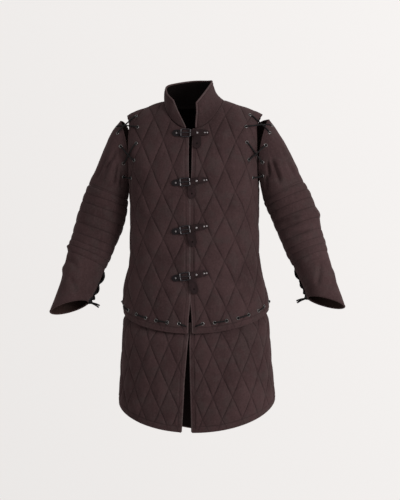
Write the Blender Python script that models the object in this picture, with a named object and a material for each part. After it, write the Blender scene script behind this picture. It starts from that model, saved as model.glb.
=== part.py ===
"""Gambeson: a padded arming coat, standing hollow as it is worn.

Metres, +Z up, front towards -Y, the wearer's left towards +X.  The origin is between
the shoulders, at the height where the coat hangs from them.

Each cloth panel is drafted flat, as a tailor drafts it: u runs round the body from the
centre line, v runs up it.  A quilted slab is cut to the panel's outline in the flat and
then laid over the body form, so the diamonds keep their size and run across the seams.
"""

import math
from collections import namedtuple

import bmesh
import bpy
import numpy as np
from mathutils import Vector
from mathutils.bvhtree import BVHTree

# ---------------------------------------------------------------- driving sizes (m)
SEAM_GAP = 0.0003            # between two pieces that are sewn together
CLEAR = 0.0004               # between a piece and what it lies on

CHEST_Z = -0.240             # the underarm; above it the body rounds over to the shoulders
CAP_ARC = 0.270              # cloth from the underarm over to the shoulder ridge
RIDGE_TOP = 0.0209           # shoulder ridge, carried on to the centre line
RIDGE_SLOPE = 0.457
RIDGE_SOFT = 0.100           # rounds the two slopes into each other
SHOULDER_TIP = 0.201         # half the width across the shoulders

NECK_HALF_WIDTH = 0.0885
NECK_FRONT = 0.104
NECK_BACK = 0.052
NECK_SQUARENESS = 2.6

TORSO_HEM_SIDE = -0.616      # the torso's lower edge at the side seams
TORSO_HEM_DIP = 0.063        # how much lower it is at the centre front
TORSO_HEM_DIP_BACK = 0.050
SKIRT_TUCK = 0.030           # how far the skirt reaches up inside the torso
SKIRT_HEM_SIDE = -0.884
SKIRT_HEM_DIP = 0.080
SKIRT_HEM_DIP_BACK = 0.111
HEM_CURVE = 1.25             # how late a hem starts to dip on its way from the side
HEM_CURVE_BACK = 1.8

EDGE_WALL = 0.0042           # all layers sewn together at an edge
BAND_WALL = 0.0060           # the plain band along the front edges
BAND_WIDTH = 0.017
EDGE_TAPER = 0.011           # the padding thins out over this distance from an edge
SKIRT_STEP = 0.0027          # how far the skirt lies under the torso at its hem
SKIRT_STEP_REACH = 0.034     # over this distance it comes out to its full width again
SLEEVE_WALL = 0.0042
CHANNEL_WALL = 0.0076
COLLAR_WALL = 0.0060
GUSSET_WALL = 0.0012

LACE_RADIUS = 0.0021
LACE_ROOM = 0.0050           # cloth this near to a lace's middle line can lift it
LEATHER = 0.0024

# ---------------------------------------------------------------- tables
# The lining's sections: half width, reach to the front and to the back, how square, and
# how far the section has swung towards the wearer's left.
Section = namedtuple("Section", "level half_width front back squareness swing")


def cap_level(rise):
    """Level above the underarm: 0 there, 1 on the shoulder ridge."""
    return CHEST_Z + rise * CAP_ARC


BODY = (
    Section(-1.030, 0.2370, 0.170, 0.186, 2.4, 0.0085),
    Section(-0.900, 0.2300, 0.163, 0.176, 2.4, 0.0080),
    Section(-0.780, 0.2195, 0.155, 0.166, 2.4, 0.0060),
    Section(-0.660, 0.2125, 0.147, 0.154, 2.4, 0.0045),
    Section(-0.600, 0.2130, 0.144, 0.149, 2.4, 0.0045),
    Section(-0.570, 0.2100, 0.141, 0.144, 2.4, 0.0030),
    Section(-0.540, 0.2035, 0.138, 0.138, 2.4, 0.0012),
    Section(-0.510, 0.1965, 0.134, 0.131, 2.4, 0.0004),
    Section(-0.480, 0.1905, 0.130, 0.125, 2.4, 0.0000),
    Section(-0.440, 0.1870, 0.128, 0.120, 2.4, 0.0000),
    Section(-0.360, 0.1860, 0.129, 0.119, 2.5, 0.0000),
    Section(-0.300, 0.1865, 0.131, 0.122, 2.7, 0.0000),
    Section(cap_level(0.0), 0.1880, 0.132, 0.125, 2.9, 0.0000),
    Section(cap_level(0.3), 0.2020, 0.131, 0.124, 3.0, 0.0000),
    Section(cap_level(0.5), 0.2120, 0.129, 0.122, 3.0, 0.0000),
    Section(cap_level(0.7), 0.2200, 0.127, 0.120, 3.0, 0.0000),
    Section(cap_level(1.0), 0.2310, 0.125, 0.118, 3.0, 0.0000),
)

# Diamonds: width and height of one, the padding's height, and where two lines cross.
Quilt = namedtuple("Quilt", "width height stitch puff origin")
TORSO_QUILT = Quilt(0.0645, 0.138, 0.0036, 0.0092, -0.266)
SKIRT_QUILT = Quilt(0.0560, 0.127, 0.0036, 0.0088, -0.800)

# The armhole's edge seen from the side: reach from the shoulder plane, and height.
ArmholePoint = namedtuple("ArmholePoint", "reach height")
ARMHOLE = (
    ArmholePoint(0.022, -0.0405),
    ArmholePoint(0.042, -0.0560),
    ArmholePoint(0.060, -0.0850),
    ArmholePoint(0.068, -0.1300),
    ArmholePoint(0.065, -0.1700),
    ArmholePoint(0.053, -0.2050),
    ArmholePoint(0.032, -0.2290),
)

# How far the two front edges lie from the centre line, down the torso and the skirt.
FrontEdge = namedtuple("FrontEdge", "height right left")
TORSO_FRONT_EDGE = (
    FrontEdge(-0.700, 0.0115, 0.0050),
    FrontEdge(-0.640, 0.0095, 0.0035),
    FrontEdge(-0.585, 0.0035, -0.0010),
    FrontEdge(-0.540, 0.0016, 0.0008),
    FrontEdge(-0.260, 0.0012, 0.0012),
    FrontEdge(-0.215, 0.0040, 0.0040),
    FrontEdge(-0.130, 0.0045, 0.0045),
    FrontEdge(-0.070, 0.0028, 0.0028),
)
SKIRT_FRONT_EDGE = (
    FrontEdge(-0.980, 0.0315, 0.0010),
    FrontEdge(-0.820, 0.0220, -0.0010),
    FrontEdge(-0.700, 0.0110, -0.0020),
    FrontEdge(-0.640, 0.0070, -0.0020),
)

# The collar's upper edge: position round the neck (degrees from the centre front,
# growing to the wearer's left), where the edge stands there, and how far the wall below
# it bows outward.
CollarStation = namedtuple("CollarStation", "turn x y z bow")
COLLAR_TOP = (
    CollarStation(9, 0.0150, -0.0900, -0.0060, -0.0010),
    CollarStation(28, 0.0270, -0.0790, 0.0110, -0.0020),
    CollarStation(55, 0.0410, -0.0560, 0.0350, -0.0060),
    CollarStation(90, 0.0510, -0.0080, 0.0630, -0.0090),
    CollarStation(135, 0.0330, 0.0430, 0.0720, -0.0050),
    CollarStation(180, -0.0120, 0.0600, 0.0745, 0.0000),
    CollarStation(225, -0.0600, 0.0400, 0.0650, 0.0020),
    CollarStation(270, -0.0805, -0.0080, 0.0500, 0.0020),
    CollarStation(305, -0.0760, -0.0500, 0.0280, 0.0020),
    CollarStation(332, -0.0660, -0.0730, 0.0140, 0.0020),
    CollarStation(351, -0.0540, -0.0860, 0.0020, 0.0010),
)

# The sleeves' outer surface: the ends of each section towards the body and away from
# it, its place and reach front to back, and how much its front stands above its back.
ArmSection = namedtuple("ArmSection", "in_x in_z out_x out_z y deep lean")
RIGHT_ARM = (
    ArmSection(0.1972, -0.2400, 0.2245, -0.0500, 0.000, 0.068, 0.000),
    ArmSection(0.1985, -0.2500, 0.2460, -0.0770, 0.001, 0.072, 0.000),
    ArmSection(0.2000, -0.2600, 0.2705, -0.1230, 0.004, 0.076, 0.000),
    ArmSection(0.2015, -0.2720, 0.2966, -0.1830, 0.007, 0.077, 0.000),
    ArmSection(0.2040, -0.2865, 0.3220, -0.2410, 0.010, 0.076, 0.002),
    ArmSection(0.2150, -0.3565, 0.3470, -0.3080, 0.012, 0.073, 0.003),
    ArmSection(0.2480, -0.4380, 0.3710, -0.3930, 0.008, 0.069, 0.008),
    ArmSection(0.2710, -0.4940, 0.3840, -0.4460, -0.005, 0.063, 0.014),
    ArmSection(0.3000, -0.5670, 0.3990, -0.5310, -0.028, 0.056, 0.016),
    ArmSection(0.3130, -0.5910, 0.4300, -0.6240, -0.050, 0.055, 0.016),
)
LEFT_ARM = (
    ArmSection(0.1970, -0.2370, 0.2250, -0.0500, -0.005, 0.067, 0.000),
    ArmSection(0.1985, -0.2480, 0.2475, -0.0800, -0.002, 0.072, 0.000),
    ArmSection(0.2005, -0.2600, 0.2770, -0.1270, 0.004, 0.076, 0.000),
    ArmSection(0.2035, -0.2750, 0.3040, -0.1860, 0.007, 0.077, 0.000),
    ArmSection(0.2085, -0.2940, 0.3270, -0.2350, 0.010, 0.076, 0.002),
    ArmSection(0.2330, -0.3480, 0.3580, -0.2980, 0.012, 0.073, 0.003),
    ArmSection(0.2670, -0.4290, 0.3810, -0.3840, 0.008, 0.069, 0.008),
    ArmSection(0.2960, -0.4860, 0.3985, -0.4440, -0.005, 0.063, 0.014),
    ArmSection(0.3270, -0.5480, 0.4200, -0.5180, -0.028, 0.056, 0.016),
    ArmSection(0.3380, -0.5780, 0.4500, -0.6030, -0.050, 0.055, 0.016),
)
# How far the head's edge bows towards the body: in front, behind, and how much more in
# the upper quarter behind.
Scoop = namedtuple("Scoop", "front back upper_back")
HEAD_SCOOP = {"right": Scoop(0.0165, 0.0180, 0.0), "left": Scoop(0.0095, 0.0300, 0.0200)}
ELBOW_START = 4.0            # sections at which the parts of a sleeve meet
ELBOW_END = 7.0
CUFF = 9.0
CHANNELS = 8                 # cross-stitched channels at the elbow
AROUND = 16                  # faces round a sleeve
SLIT_TURN = 196              # the open forearm seam, degrees round from the outer side
SLIT_START = 7.10
SLIT_HALF_GAP = 0.0030       # at its upper end
SLIT_HALF_GAP_CUFF = 0.0085
FOREARM_RADIUS = 0.057       # turns a width along the surface into an angle
GUSSET_BULGE = 0.0065        # how far the black gusset pushes out between the laces
GUSSET_BULGES = 4
GUSSET_SEAM = 0.20           # half the angle it takes up inside the sleeve
GUSSET_UNDER = 0.0016        # how far it lies inside the sleeve's wall

# The closures: height, tilt, and how far the strap's tail hangs to which side.
Closure = namedtuple("Closure", "height tilt tail_x tail_length")
CLOSURES = (
    Closure(-0.0990, 0.0, 0.0200, 0.034),
    Closure(-0.2390, 5.0, 0.0030, 0.039),
    Closure(-0.3765, 10.0, 0.0010, 0.042),
    Closure(-0.5145, 9.5, 0.0050, 0.043),
)
CLOSURE_HALF = 0.054         # half the length of a closure across the front
STRAP_HEIGHT = 0.021
BUCKLE_HEIGHT = 0.027
BUCKLE_LEFT_BAR = -0.0275
BUCKLE_RIGHT_BAR = -0.0005
BUCKLE_WIRE = 0.0032
BUCKLE_CORNER = 0.004
PRONG_WIDTH = 0.0032
TAIL_WIDTH = 0.025
TAIL_CUTS = (0.0, -0.018, -0.034)            # where a hanging tail may bend over the cloth

# The waist lace: eyelets at an even pitch along the hem, from the centre front round.
WAIST_FIRST = 0.0340         # from the centre front to the first eyelet
WAIST_START = 0.011          # from the centre front to where the lace comes out
WAIST_DASHES = 8             # pairs of eyelets after it, on each half of the coat
WAIST_RISE = 0.026           # eyelets above the torso's lower edge

# Laces across each armhole: two eyelets on the torso, given by their distance across and
# height, and two on the sleeve, given by section and turn in degrees.
Cross = namedtuple("Cross", "name back torso_high torso_low sleeve_high sleeve_low")
CROSSES = (
    Cross("front", False, (0.160, -0.125), (0.166, -0.174), (0.50, 75), (0.55, 107)),
    Cross("top", False, (0.168, -0.043), (0.158, -0.078), (0.50, 20), (0.50, 46)),
    Cross("back", True, (0.160, -0.125), (0.166, -0.174), (0.50, 285), (0.55, 253)),
)
LOW_STITCH = ((0.175, -0.225), (1.1, 130))   # the lowest lace, in front only

COLOURS = {
    "cloth": (0.026, 0.016, 0.017, 1.0),
    "black_cloth": (0.004, 0.003, 0.003, 1.0),
    "leather": (0.020, 0.010, 0.011, 1.0),
    "metal": (0.18, 0.18, 0.19, 1.0),
    "lace": (0.004, 0.004, 0.004, 1.0),
}


# ---------------------------------------------------------------- small helpers
def smooth_columns(table, key, at):
    """A row of the table at any position, read from a smooth curve through its rows."""
    places = [getattr(row, key) for row in table]
    at = min(max(at, places[0]), places[-1])
    last = len(table) - 2
    index = min(max(int(np.searchsorted(places, at)) - 1, 0), last)
    before, after = max(index - 1, 0), min(index + 2, last + 1)
    span = places[index + 1] - places[index]
    share = (at - places[index]) / span
    values = []
    for name in table[0]._fields:
        p0, p1 = getattr(table[index], name), getattr(table[index + 1], name)
        slope0 = (p1 - getattr(table[before], name)) / (places[index + 1] - places[before])
        slope1 = (getattr(table[after], name) - p0) / (places[after] - places[index])
        values.append(
            (2 * share**3 - 3 * share**2 + 1) * p0
            + (share**3 - 2 * share**2 + share) * span * slope0
            + (3 * share**2 - 2 * share**3) * p1
            + (share**3 - share**2) * span * slope1
        )
    return type(table[0])(*values)


def numbered(table):
    """The table with each row's number as its first column."""
    row_type = namedtuple("Numbered", ("number",) + table[0]._fields)
    return [row_type(number, *row) for number, row in enumerate(table)]


def steps(start, end, count):
    return [start + (end - start) * i / count for i in range(count + 1)]


def material(name, roughness, metallic=0.0):
    made = bpy.data.materials.new(name)
    made.use_nodes = True
    shader = made.node_tree.nodes["Principled BSDF"]
    shader.inputs["Base Color"].default_value = COLOURS[name]
    shader.inputs["Roughness"].default_value = roughness
    shader.inputs["Metallic"].default_value = metallic
    made.diffuse_color = COLOURS[name]
    return made


def add_object(name, mesh, finish):
    made = bpy.data.objects.new(name, mesh)
    bpy.context.scene.collection.objects.link(made)
    mesh.materials.clear()
    mesh.materials.append(finish)
    return made


def mesh_from(bm, name):
    mesh = bpy.data.meshes.new(name)
    bm.to_mesh(mesh)
    bm.free()
    return mesh


def finish_shading(mesh, angle=35):
    mesh.shade_smooth()
    mesh.set_sharp_from_angle(angle=math.radians(angle))


def evaluated_mesh(made):
    """The object's mesh with its modifiers applied; the object itself is removed."""
    bpy.context.view_layer.update()
    graph = bpy.context.evaluated_depsgraph_get()
    mesh = bpy.data.meshes.new_from_object(made.evaluated_get(graph))
    bpy.data.objects.remove(made)
    return mesh


def combine(mesh, other, operation):
    """Boolean of two closed meshes."""
    body = bpy.data.objects.new("body", mesh)
    tool = bpy.data.objects.new("tool", other)
    for made in (body, tool):
        bpy.context.scene.collection.objects.link(made)
    cut = body.modifiers.new("combine", "BOOLEAN")
    cut.operation = operation
    cut.object = tool
    result = evaluated_mesh(body)
    bpy.data.objects.remove(tool)
    return result


# ---------------------------------------------------------------- the body form
def ridge_height(x):
    """Height of the shoulder ridge at a distance x from the centre."""
    return RIDGE_TOP - RIDGE_SLOPE * (math.hypot(x, RIDGE_SOFT) - RIDGE_SOFT)


RIDGE_LEVEL = cap_level(1.0)


def lining_point(level, turn):
    """A point of the lining: turn is 0 at the centre front, 90 degrees at the wearer's
    left side and 180 at the centre back; negative turns lie on the other side."""
    if level > RIDGE_LEVEL:                      # over the ridge and down the other side
        level = 2 * RIDGE_LEVEL - level
        turn = math.copysign(math.pi - abs(turn), turn)
    side = 1.0
    turn = math.remainder(turn, 2 * math.pi)
    if turn < 0:
        side, turn = -1.0, -turn
    back = turn > math.pi / 2
    if back:
        turn = math.pi - turn
    row = smooth_columns(BODY, "level", level)
    rise = max(0.0, level - CHEST_Z) / CAP_ARC * math.pi / 2
    power = 2 / row.squareness
    x = row.half_width * abs(math.sin(turn)) ** power
    depth = (row.back if back else row.front) * math.cos(rise)
    y = depth * abs(math.cos(turn)) ** power
    z = min(level, CHEST_Z)
    if level > CHEST_Z:
        z = CHEST_Z + (ridge_height(x) - CHEST_Z) * math.sin(rise)
    return Vector((side * x + row.swing, y if back else -y, z))


def lining_normal(level, turn):
    """The lining's outward direction."""
    small_turn, small_level = 0.012, 0.0015
    across = lining_point(level, turn + small_turn) - lining_point(level, turn - small_turn)
    upward = lining_point(level + small_level, turn) - lining_point(level - small_level, turn)
    return across.cross(upward).normalized()


def section_turn(level, back, across=None, reach=None):
    """The turn at which a section is this far across, or reaches this far out."""
    row = smooth_columns(BODY, "level", level)
    rise = max(0.0, level - CHEST_Z) / CAP_ARC * math.pi / 2
    if across is not None:
        turn = math.asin(min(1.0, across / row.half_width) ** (row.squareness / 2))
    else:
        depth = max((row.back if back else row.front) * math.cos(rise), 1e-9)
        turn = math.acos(min(1.0, reach / depth) ** (row.squareness / 2))
    return math.pi - turn if back else turn


def level_where(test, low, high):
    """The level between low and high at which a rising test passes zero."""
    for _ in range(36):
        middle = (low + high) / 2
        if test(middle) < 0:
            low = middle
        else:
            high = middle
    return (low + high) / 2


def place_from_side(reach, height, back):
    """Level and turn of a point given by its reach and height, as seen from the side."""
    def above(level):
        turn = section_turn(level, back, reach=reach)
        return lining_point(level, turn).z - height
    level = level_where(above, BODY[0].level, RIDGE_LEVEL)
    return level, section_turn(level, back, reach=reach)


def place_from_front(across, height, back):
    """Level and turn of a point given by its distance across and height."""
    def above(level):
        turn = section_turn(level, back, across=across)
        return lining_point(level, turn).z - height
    level = level_where(above, BODY[0].level, RIDGE_LEVEL)
    return level, section_turn(level, back, across=across)


def place_from_above(across, reach, back):
    """Level and turn of a point on the shoulders given by its place in plan."""
    def inward(level):
        turn = section_turn(level, back, across=across)
        return reach - abs(lining_point(level, turn).y)
    level = level_where(inward, CHEST_Z, RIDGE_LEVEL)
    return level, section_turn(level, back, across=across)


def hem_level(turn, side_height, dip_front, dip_back):
    """Level of a hem that dips towards the centre front and the centre back."""
    level = side_height
    for _ in range(4):
        power = 2 / smooth_columns(BODY, "level", level).squareness
        toward_centre = math.sqrt(max(0.0, 1 - abs(math.sin(turn)) ** (2 * power)))
        if abs(turn) > math.pi / 2:
            level = side_height - dip_back * toward_centre ** HEM_CURVE_BACK
        else:
            level = side_height - dip_front * toward_centre ** HEM_CURVE
    return level


def torso_hem(turn):
    return hem_level(turn, TORSO_HEM_SIDE, TORSO_HEM_DIP, TORSO_HEM_DIP_BACK)


def skirt_hem(turn):
    return hem_level(turn, SKIRT_HEM_SIDE, SKIRT_HEM_DIP, SKIRT_HEM_DIP_BACK)


# ---------------------------------------------------------------- flat drafting
class Draft:
    """Flat coordinates of half the front or half the back, on the wearer's left.

    u is the distance from the centre line along a section, v the distance up a line
    drawn halfway to the side."""

    TURNS = 60
    LEVEL_STEP = 0.0075
    MIDDLE_TURN = math.radians(50)

    def __init__(self, back, origin):
        self.back = back
        count = round((RIDGE_LEVEL - BODY[0].level) / self.LEVEL_STEP)
        self.levels = np.array(steps(BODY[0].level, RIDGE_LEVEL, count))
        self.turns = np.array(steps(0, math.pi / 2, self.TURNS))
        self.arcs = np.array([self.section_arcs(level) for level in self.levels])
        line = [lining_point(level, self.full_turn(self.MIDDLE_TURN)) for level in self.levels]
        heights = [0.0]
        for lower, upper in zip(line, line[1:]):
            heights.append(heights[-1] + (upper - lower).length)
        self.heights = np.array(heights) - np.interp(origin, self.levels, heights)

    def full_turn(self, turn):
        return math.pi - turn if self.back else turn

    def section_arcs(self, level):
        points = [lining_point(level, self.full_turn(turn)) for turn in self.turns]
        arcs = [0.0]
        for first, second in zip(points, points[1:]):
            arcs.append(arcs[-1] + (second - first).length)
        return arcs

    def arcs_at(self, level):
        position = np.interp(level, self.levels, range(len(self.levels)))
        lower = min(int(position), len(self.levels) - 2)
        share = position - lower
        return self.arcs[lower] * (1 - share) + self.arcs[lower + 1] * share

    def flat(self, level, turn):
        """Flat place of a point of the body."""
        turn = abs(turn)
        turn = math.pi - turn if self.back else turn
        u = float(np.interp(turn, self.turns, self.arcs_at(level)))
        return u, float(np.interp(level, self.levels, self.heights))

    def place(self, u, v):
        """Level and turn of a flat place; u below zero lies on the wearer's right."""
        level = float(np.interp(v, self.heights, self.levels))
        turn = float(np.interp(abs(u), self.arcs_at(level), self.turns))
        return level, math.copysign(self.full_turn(turn), u if u else 1.0)

    def point(self, u, v, height):
        """The point that lies height above the lining at a flat place."""
        level, turn = self.place(u, v)
        return lining_point(level, turn) + height * lining_normal(level, turn)


def quilt_height(u, v, quilt):
    """Height of the padded wall over its lining, in the diamonds' own coordinates."""
    rising = u / quilt.width + v / quilt.height
    falling = u / quilt.width - v / quilt.height
    swell = abs(math.sin(math.pi * rising) * math.sin(math.pi * falling)) ** 0.6
    return quilt.stitch + (quilt.puff - quilt.stitch) * swell


SLAB_MARGIN = 0.010          # cloth round a panel before it is cut out


def even_steps(values, step):
    """Numbers of the first and last even step that clear the values by the margin."""
    first = 2 * math.floor((min(values) - SLAB_MARGIN) / step / 2)
    last = 2 * math.ceil((max(values) + SLAB_MARGIN) / step / 2)
    return first, last


def quilted_slab(quilt, outline):
    """A flat slab with diamonds raised on its upper side and a plain underside."""
    du, dv = quilt.width / 4, quilt.height / 4
    first_i, last_i = even_steps([u for u, v in outline], du)
    first_j, last_j = even_steps([v for u, v in outline], dv)
    bm = bmesh.new()
    top = {}
    for i in range(first_i, last_i + 1):
        for j in range(first_j, last_j + 1):
            height = quilt_height(i * du, j * dv, quilt)
            top[i, j] = bm.verts.new((i * du, j * dv, height))
    under = {key: bm.verts.new((key[0] * du, key[1] * dv, 0)) for key in top
             if key[0] % 2 == 0 and key[1] % 2 == 0}
    for i in range(first_i, last_i):
        for j in range(first_j, last_j):
            a, b = top[i, j], top[i + 1, j]
            c, d = top[i + 1, j + 1], top[i, j + 1]
            if (i - j) % 2 == 0:                 # the stitch lines run along the diagonals
                triangles = ((a, b, c), (a, c, d))
            else:
                triangles = ((a, b, d), (b, c, d))
            for corners in triangles:
                bm.faces.new(corners)
    for i in range(first_i, last_i, 2):
        for j in range(first_j, last_j, 2):
            bm.faces.new((under[i, j], under[i, j + 2], under[i + 2, j + 2], under[i + 2, j]))
    for i in range(first_i, last_i, 2):
        for j, turn in ((first_j, 1), (last_j, -1)):
            wall = [under[i, j], under[i + 2, j], top[i + 2, j], top[i + 1, j], top[i, j]]
            bm.faces.new(wall[::turn])
    for j in range(first_j, last_j, 2):
        for i, turn in ((first_i, -1), (last_i, 1)):
            wall = [under[i, j], under[i, j + 2], top[i, j + 2], top[i, j + 1], top[i, j]]
            bm.faces.new(wall[::turn])
    return mesh_from(bm, "slab")


def outline_prism(outline):
    """A prism over a flat outline, taller than the slab on both sides."""
    reach = 0.03
    bm = bmesh.new()
    face = bm.faces.new([bm.verts.new((u, v, -reach)) for u, v in outline])
    raised = bmesh.ops.extrude_face_region(bm, geom=[face])["geom"]
    bmesh.ops.translate(bm, vec=(0, 0, 2 * reach),
                        verts=[item for item in raised if isinstance(item, bmesh.types.BMVert)])
    bmesh.ops.recalc_face_normals(bm, faces=bm.faces)
    return mesh_from(bm, "outline")


def outline_distance(u, v, outline):
    """Distance of a flat place from the nearest stretch of the outline."""
    best = 1.0
    for (u0, v0), (u1, v1) in zip(outline, outline[1:] + outline[:1]):
        du, dv = u1 - u0, v1 - v0
        share = ((u - u0) * du + (v - v0) * dv) / (du * du + dv * dv)
        share = min(max(share, 0.0), 1.0)
        best = min(best, math.hypot(u - u0 - share * du, v - v0 - share * dv))
    return best


def quilted_panel(name, draft, quilt, outline, finish, side=1, inset=None, band=True):
    """Cuts a quilted slab to its outline and lays it over the body."""
    cut = combine(quilted_slab(quilt, outline), outline_prism(outline), "INTERSECT")
    bm = bmesh.new()
    bm.from_mesh(cut)
    bmesh.ops.remove_doubles(bm, verts=bm.verts, dist=0.0005)
    bmesh.ops.dissolve_degenerate(bm, edges=bm.edges, dist=0.0002)
    bmesh.ops.triangulate(bm, faces=[face for face in bm.faces if len(face.verts) > 3])
    for vert in bm.verts:
        u, v, height = vert.co
        if height > 0.001:
            near = min(outline_distance(u, v, outline) / EDGE_TAPER, 1.0)
            near = near * near * (3 - 2 * near)
            if band and abs(u) < BAND_WIDTH:
                height = BAND_WALL
            height = EDGE_WALL + (height - EDGE_WALL) * near
        shift = inset(draft, u, v) if inset else 0.0
        vert.co = draft.point(side * u, v, height + shift)
    if (side < 0) != draft.back:                 # laid mirrored, so the faces turn over
        bmesh.ops.reverse_faces(bm, faces=bm.faces)
    mesh = mesh_from(bm, name)
    finish_shading(mesh, 12)
    return add_object(name, mesh, finish)


# ---------------------------------------------------------------- panel outlines
def gap_at(table, height, column):
    return float(np.interp(height, [row.height for row in table],
                           [getattr(row, column) for row in table]))


def armhole_outline(draft):
    """The armhole's edge from the side seam up to the shoulder tip."""
    places = [place_from_side(point.reach, point.height, draft.back)
              for point in reversed(ARMHOLE)]
    ends = [(CHEST_Z, draft.full_turn(math.pi / 2))]
    tip_turn = section_turn(RIDGE_LEVEL, draft.back, across=SHOULDER_TIP)
    ends.append((RIDGE_LEVEL, tip_turn))
    return [ends[0]] + places + [ends[1]]


def neck_place(angle, back):
    """Level and turn of the neckline; angle is 0 on the centre line, pi / 2 at the side."""
    power = 2 / NECK_SQUARENESS
    across = NECK_HALF_WIDTH * abs(math.sin(angle)) ** power
    reach = (NECK_BACK if back else NECK_FRONT) * abs(math.cos(angle)) ** power
    return place_from_above(across, reach, back)


def below_ridge(outline, draft):
    """Keeps an outline half a seam gap short of the shoulder ridge."""
    ridge = float(draft.heights[-1]) - SEAM_GAP / 2
    return [(u, min(v, ridge)) for u, v in outline]


def side_seam(draft, low, high):
    """The side seam from one level up to another, half a seam gap short of the side."""
    side = draft.full_turn(math.pi / 2)
    places = [draft.flat(level, side) for level in steps(low, high, max(2, round((high - low) / 0.04)))]
    return [(u - SEAM_GAP / 2, v) for u, v in places]


def front_edge(draft, table, column, low, high):
    """A front edge from one level down to another, as flat places."""
    heights = [high] + [row.height for row in reversed(table) if low < row.height < high] + [low]
    return [(gap_at(table, height, column), draft.flat(height, 0.0)[1]) for height in heights]


def torso_front_outline(draft, column):
    side = math.pi / 2
    hem = [draft.flat(torso_hem(turn), turn) for turn in steps(0, side, 14)]
    seam = side_seam(draft, torso_hem(side), CHEST_Z)
    armhole = [draft.flat(*place) for place in armhole_outline(draft)]
    neck = [draft.flat(*neck_place(angle, False)) for angle in steps(side, 0, 12)]
    edge = front_edge(draft, TORSO_FRONT_EDGE, column, torso_hem(0.0), neck_place(0.0, False)[0])
    return below_ridge(hem[1:-1] + seam + armhole[1:] + neck[:-1] + edge, draft)


def mirrored_outline(half):
    """A whole back panel from the half that starts and ends on the centre line."""
    return half + [(-u, v) for u, v in reversed(half[1:-1])]


def torso_back_outline(draft):
    side = math.pi / 2
    hem = [draft.flat(torso_hem(turn), turn) for turn in steps(math.pi, side, 14)]
    seam = side_seam(draft, torso_hem(side), CHEST_Z)
    armhole = [draft.flat(*place) for place in armhole_outline(draft)]
    neck = [draft.flat(*neck_place(angle, True)) for angle in steps(side, 0, 12)]
    return mirrored_outline(below_ridge(hem[:-1] + seam + armhole[1:] + neck, draft))


def skirt_outline(draft, column=None):
    """Half a skirt; column names the front edge's side and is None on the back."""
    side = draft.full_turn(math.pi / 2)
    centre = draft.full_turn(0.0)
    hem = [draft.flat(skirt_hem(turn), turn) for turn in steps(centre, side, 14)]
    seam = side_seam(draft, skirt_hem(side), torso_hem(side) + SKIRT_TUCK)
    top = [draft.flat(torso_hem(turn) + SKIRT_TUCK, turn) for turn in steps(side, centre, 14)]
    if column:
        edge = front_edge(draft, SKIRT_FRONT_EDGE, column, skirt_hem(0.0),
                          torso_hem(0.0) + SKIRT_TUCK)
        return hem[1:-1] + seam + top[1:-1] + edge
    return mirrored_outline(hem[:-1] + seam + top[1:])


def skirt_inset(draft, u, v):
    """The skirt is drawn in where the torso's lower edge lies over it."""
    level, turn = draft.place(u, v)
    below = torso_hem(turn) - level              # grows downwards from the torso's edge
    share = min(max(below / SKIRT_STEP_REACH, 0.0), 1.0)
    share = share * share * (3 - 2 * share)
    return -(SKIRT_QUILT.puff + SKIRT_STEP) * (1 - share)


# ---------------------------------------------------------------- walls made of rings
def grid_wall(outer, inner, closed):
    """A closed wall between an outer and an inner grid of points, rows by columns.

    The inner grid may have fewer rows.  A closed wall goes all the way round."""
    bm = bmesh.new()
    outer_verts = [[bm.verts.new(point) for point in row] for row in outer]
    inner_verts = [[bm.verts.new(point) for point in row] for row in inner]
    columns = len(outer[0])
    spans = columns if closed else columns - 1
    for grid, flip in ((outer_verts, False), (inner_verts, True)):
        for low, high in zip(grid, grid[1:]):
            for i in range(spans):
                j = (i + 1) % columns
                corners = (low[i], low[j], high[j], high[i])
                bm.faces.new(corners[::-1] if flip else corners)
    for outer_row, inner_row, flip in ((outer_verts[0], inner_verts[0], True),
                                       (outer_verts[-1], inner_verts[-1], False)):
        for i in range(spans):
            j = (i + 1) % columns
            corners = (outer_row[i], outer_row[j], inner_row[j], inner_row[i])
            bm.faces.new(corners[::-1] if flip else corners)
    if not closed:
        for i, flip in ((0, False), (columns - 1, True)):
            edge = [row[i] for row in outer_verts] + [row[i] for row in reversed(inner_verts)]
            bm.faces.new(edge[::-1] if flip else edge)
    bmesh.ops.recalc_face_normals(bm, faces=bm.faces)
    bmesh.ops.triangulate(bm, faces=bm.faces)
    return bm


def neck_base(turn_degrees):
    """The neckline's point, the direction up the body there, and its normal."""
    angle = math.radians(turn_degrees)
    side = 1.0
    if angle > math.pi:
        side, angle = -1.0, 2 * math.pi - angle
    back = angle > math.pi / 2
    level, turn = neck_place(math.pi - angle if back else angle, back)
    turn *= side
    return lining_point(level, turn), lining_normal(level, turn)


def collar_stations(count):
    """Base and top of the collar round the neck."""
    first, last = COLLAR_TOP[0].turn, COLLAR_TOP[-1].turn
    rows = []
    for turn in steps(first, last, count):
        base, normal = neck_base(turn)
        ahead, behind = neck_base(turn + 1.0)[0], neck_base(turn - 1.0)[0]
        along = (ahead - behind).normalized()
        into_hole = normal.cross(along).normalized()
        if into_hole.xy.dot(base.xy - Vector((0, -0.02))) > 0:
            into_hole = -into_hole
        top_row = smooth_columns(COLLAR_TOP, "turn", turn)
        top = Vector((top_row.x, top_row.y, top_row.z))
        rows.append((base, along, into_hole, top, top_row.bow))
    return rows


def collar_mesh(count, heights, wall):
    outer, inner = [[] for _ in heights], [[] for _ in heights]
    for base, along, into_hole, top, bow in collar_stations(count):
        rise = top - base
        outward = rise.cross(along).normalized()
        if outward.xy.dot(base.xy - Vector((0, -0.02))) < 0:
            outward = -outward
        facing = max(0.0, -outward.dot(into_hole))
        foot = base + into_hole * (SEAM_GAP + CLEAR + wall * facing)
        for row, share in enumerate(heights):
            middle = foot.lerp(top, share) + outward * bow * math.sin(math.pi * share)
            thick = wall * (1 - 0.35 * share**6)
            outer[row].append(middle + outward * thick)
            inner[row].append(middle)
    return grid_wall(outer, inner, closed=False)


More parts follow.
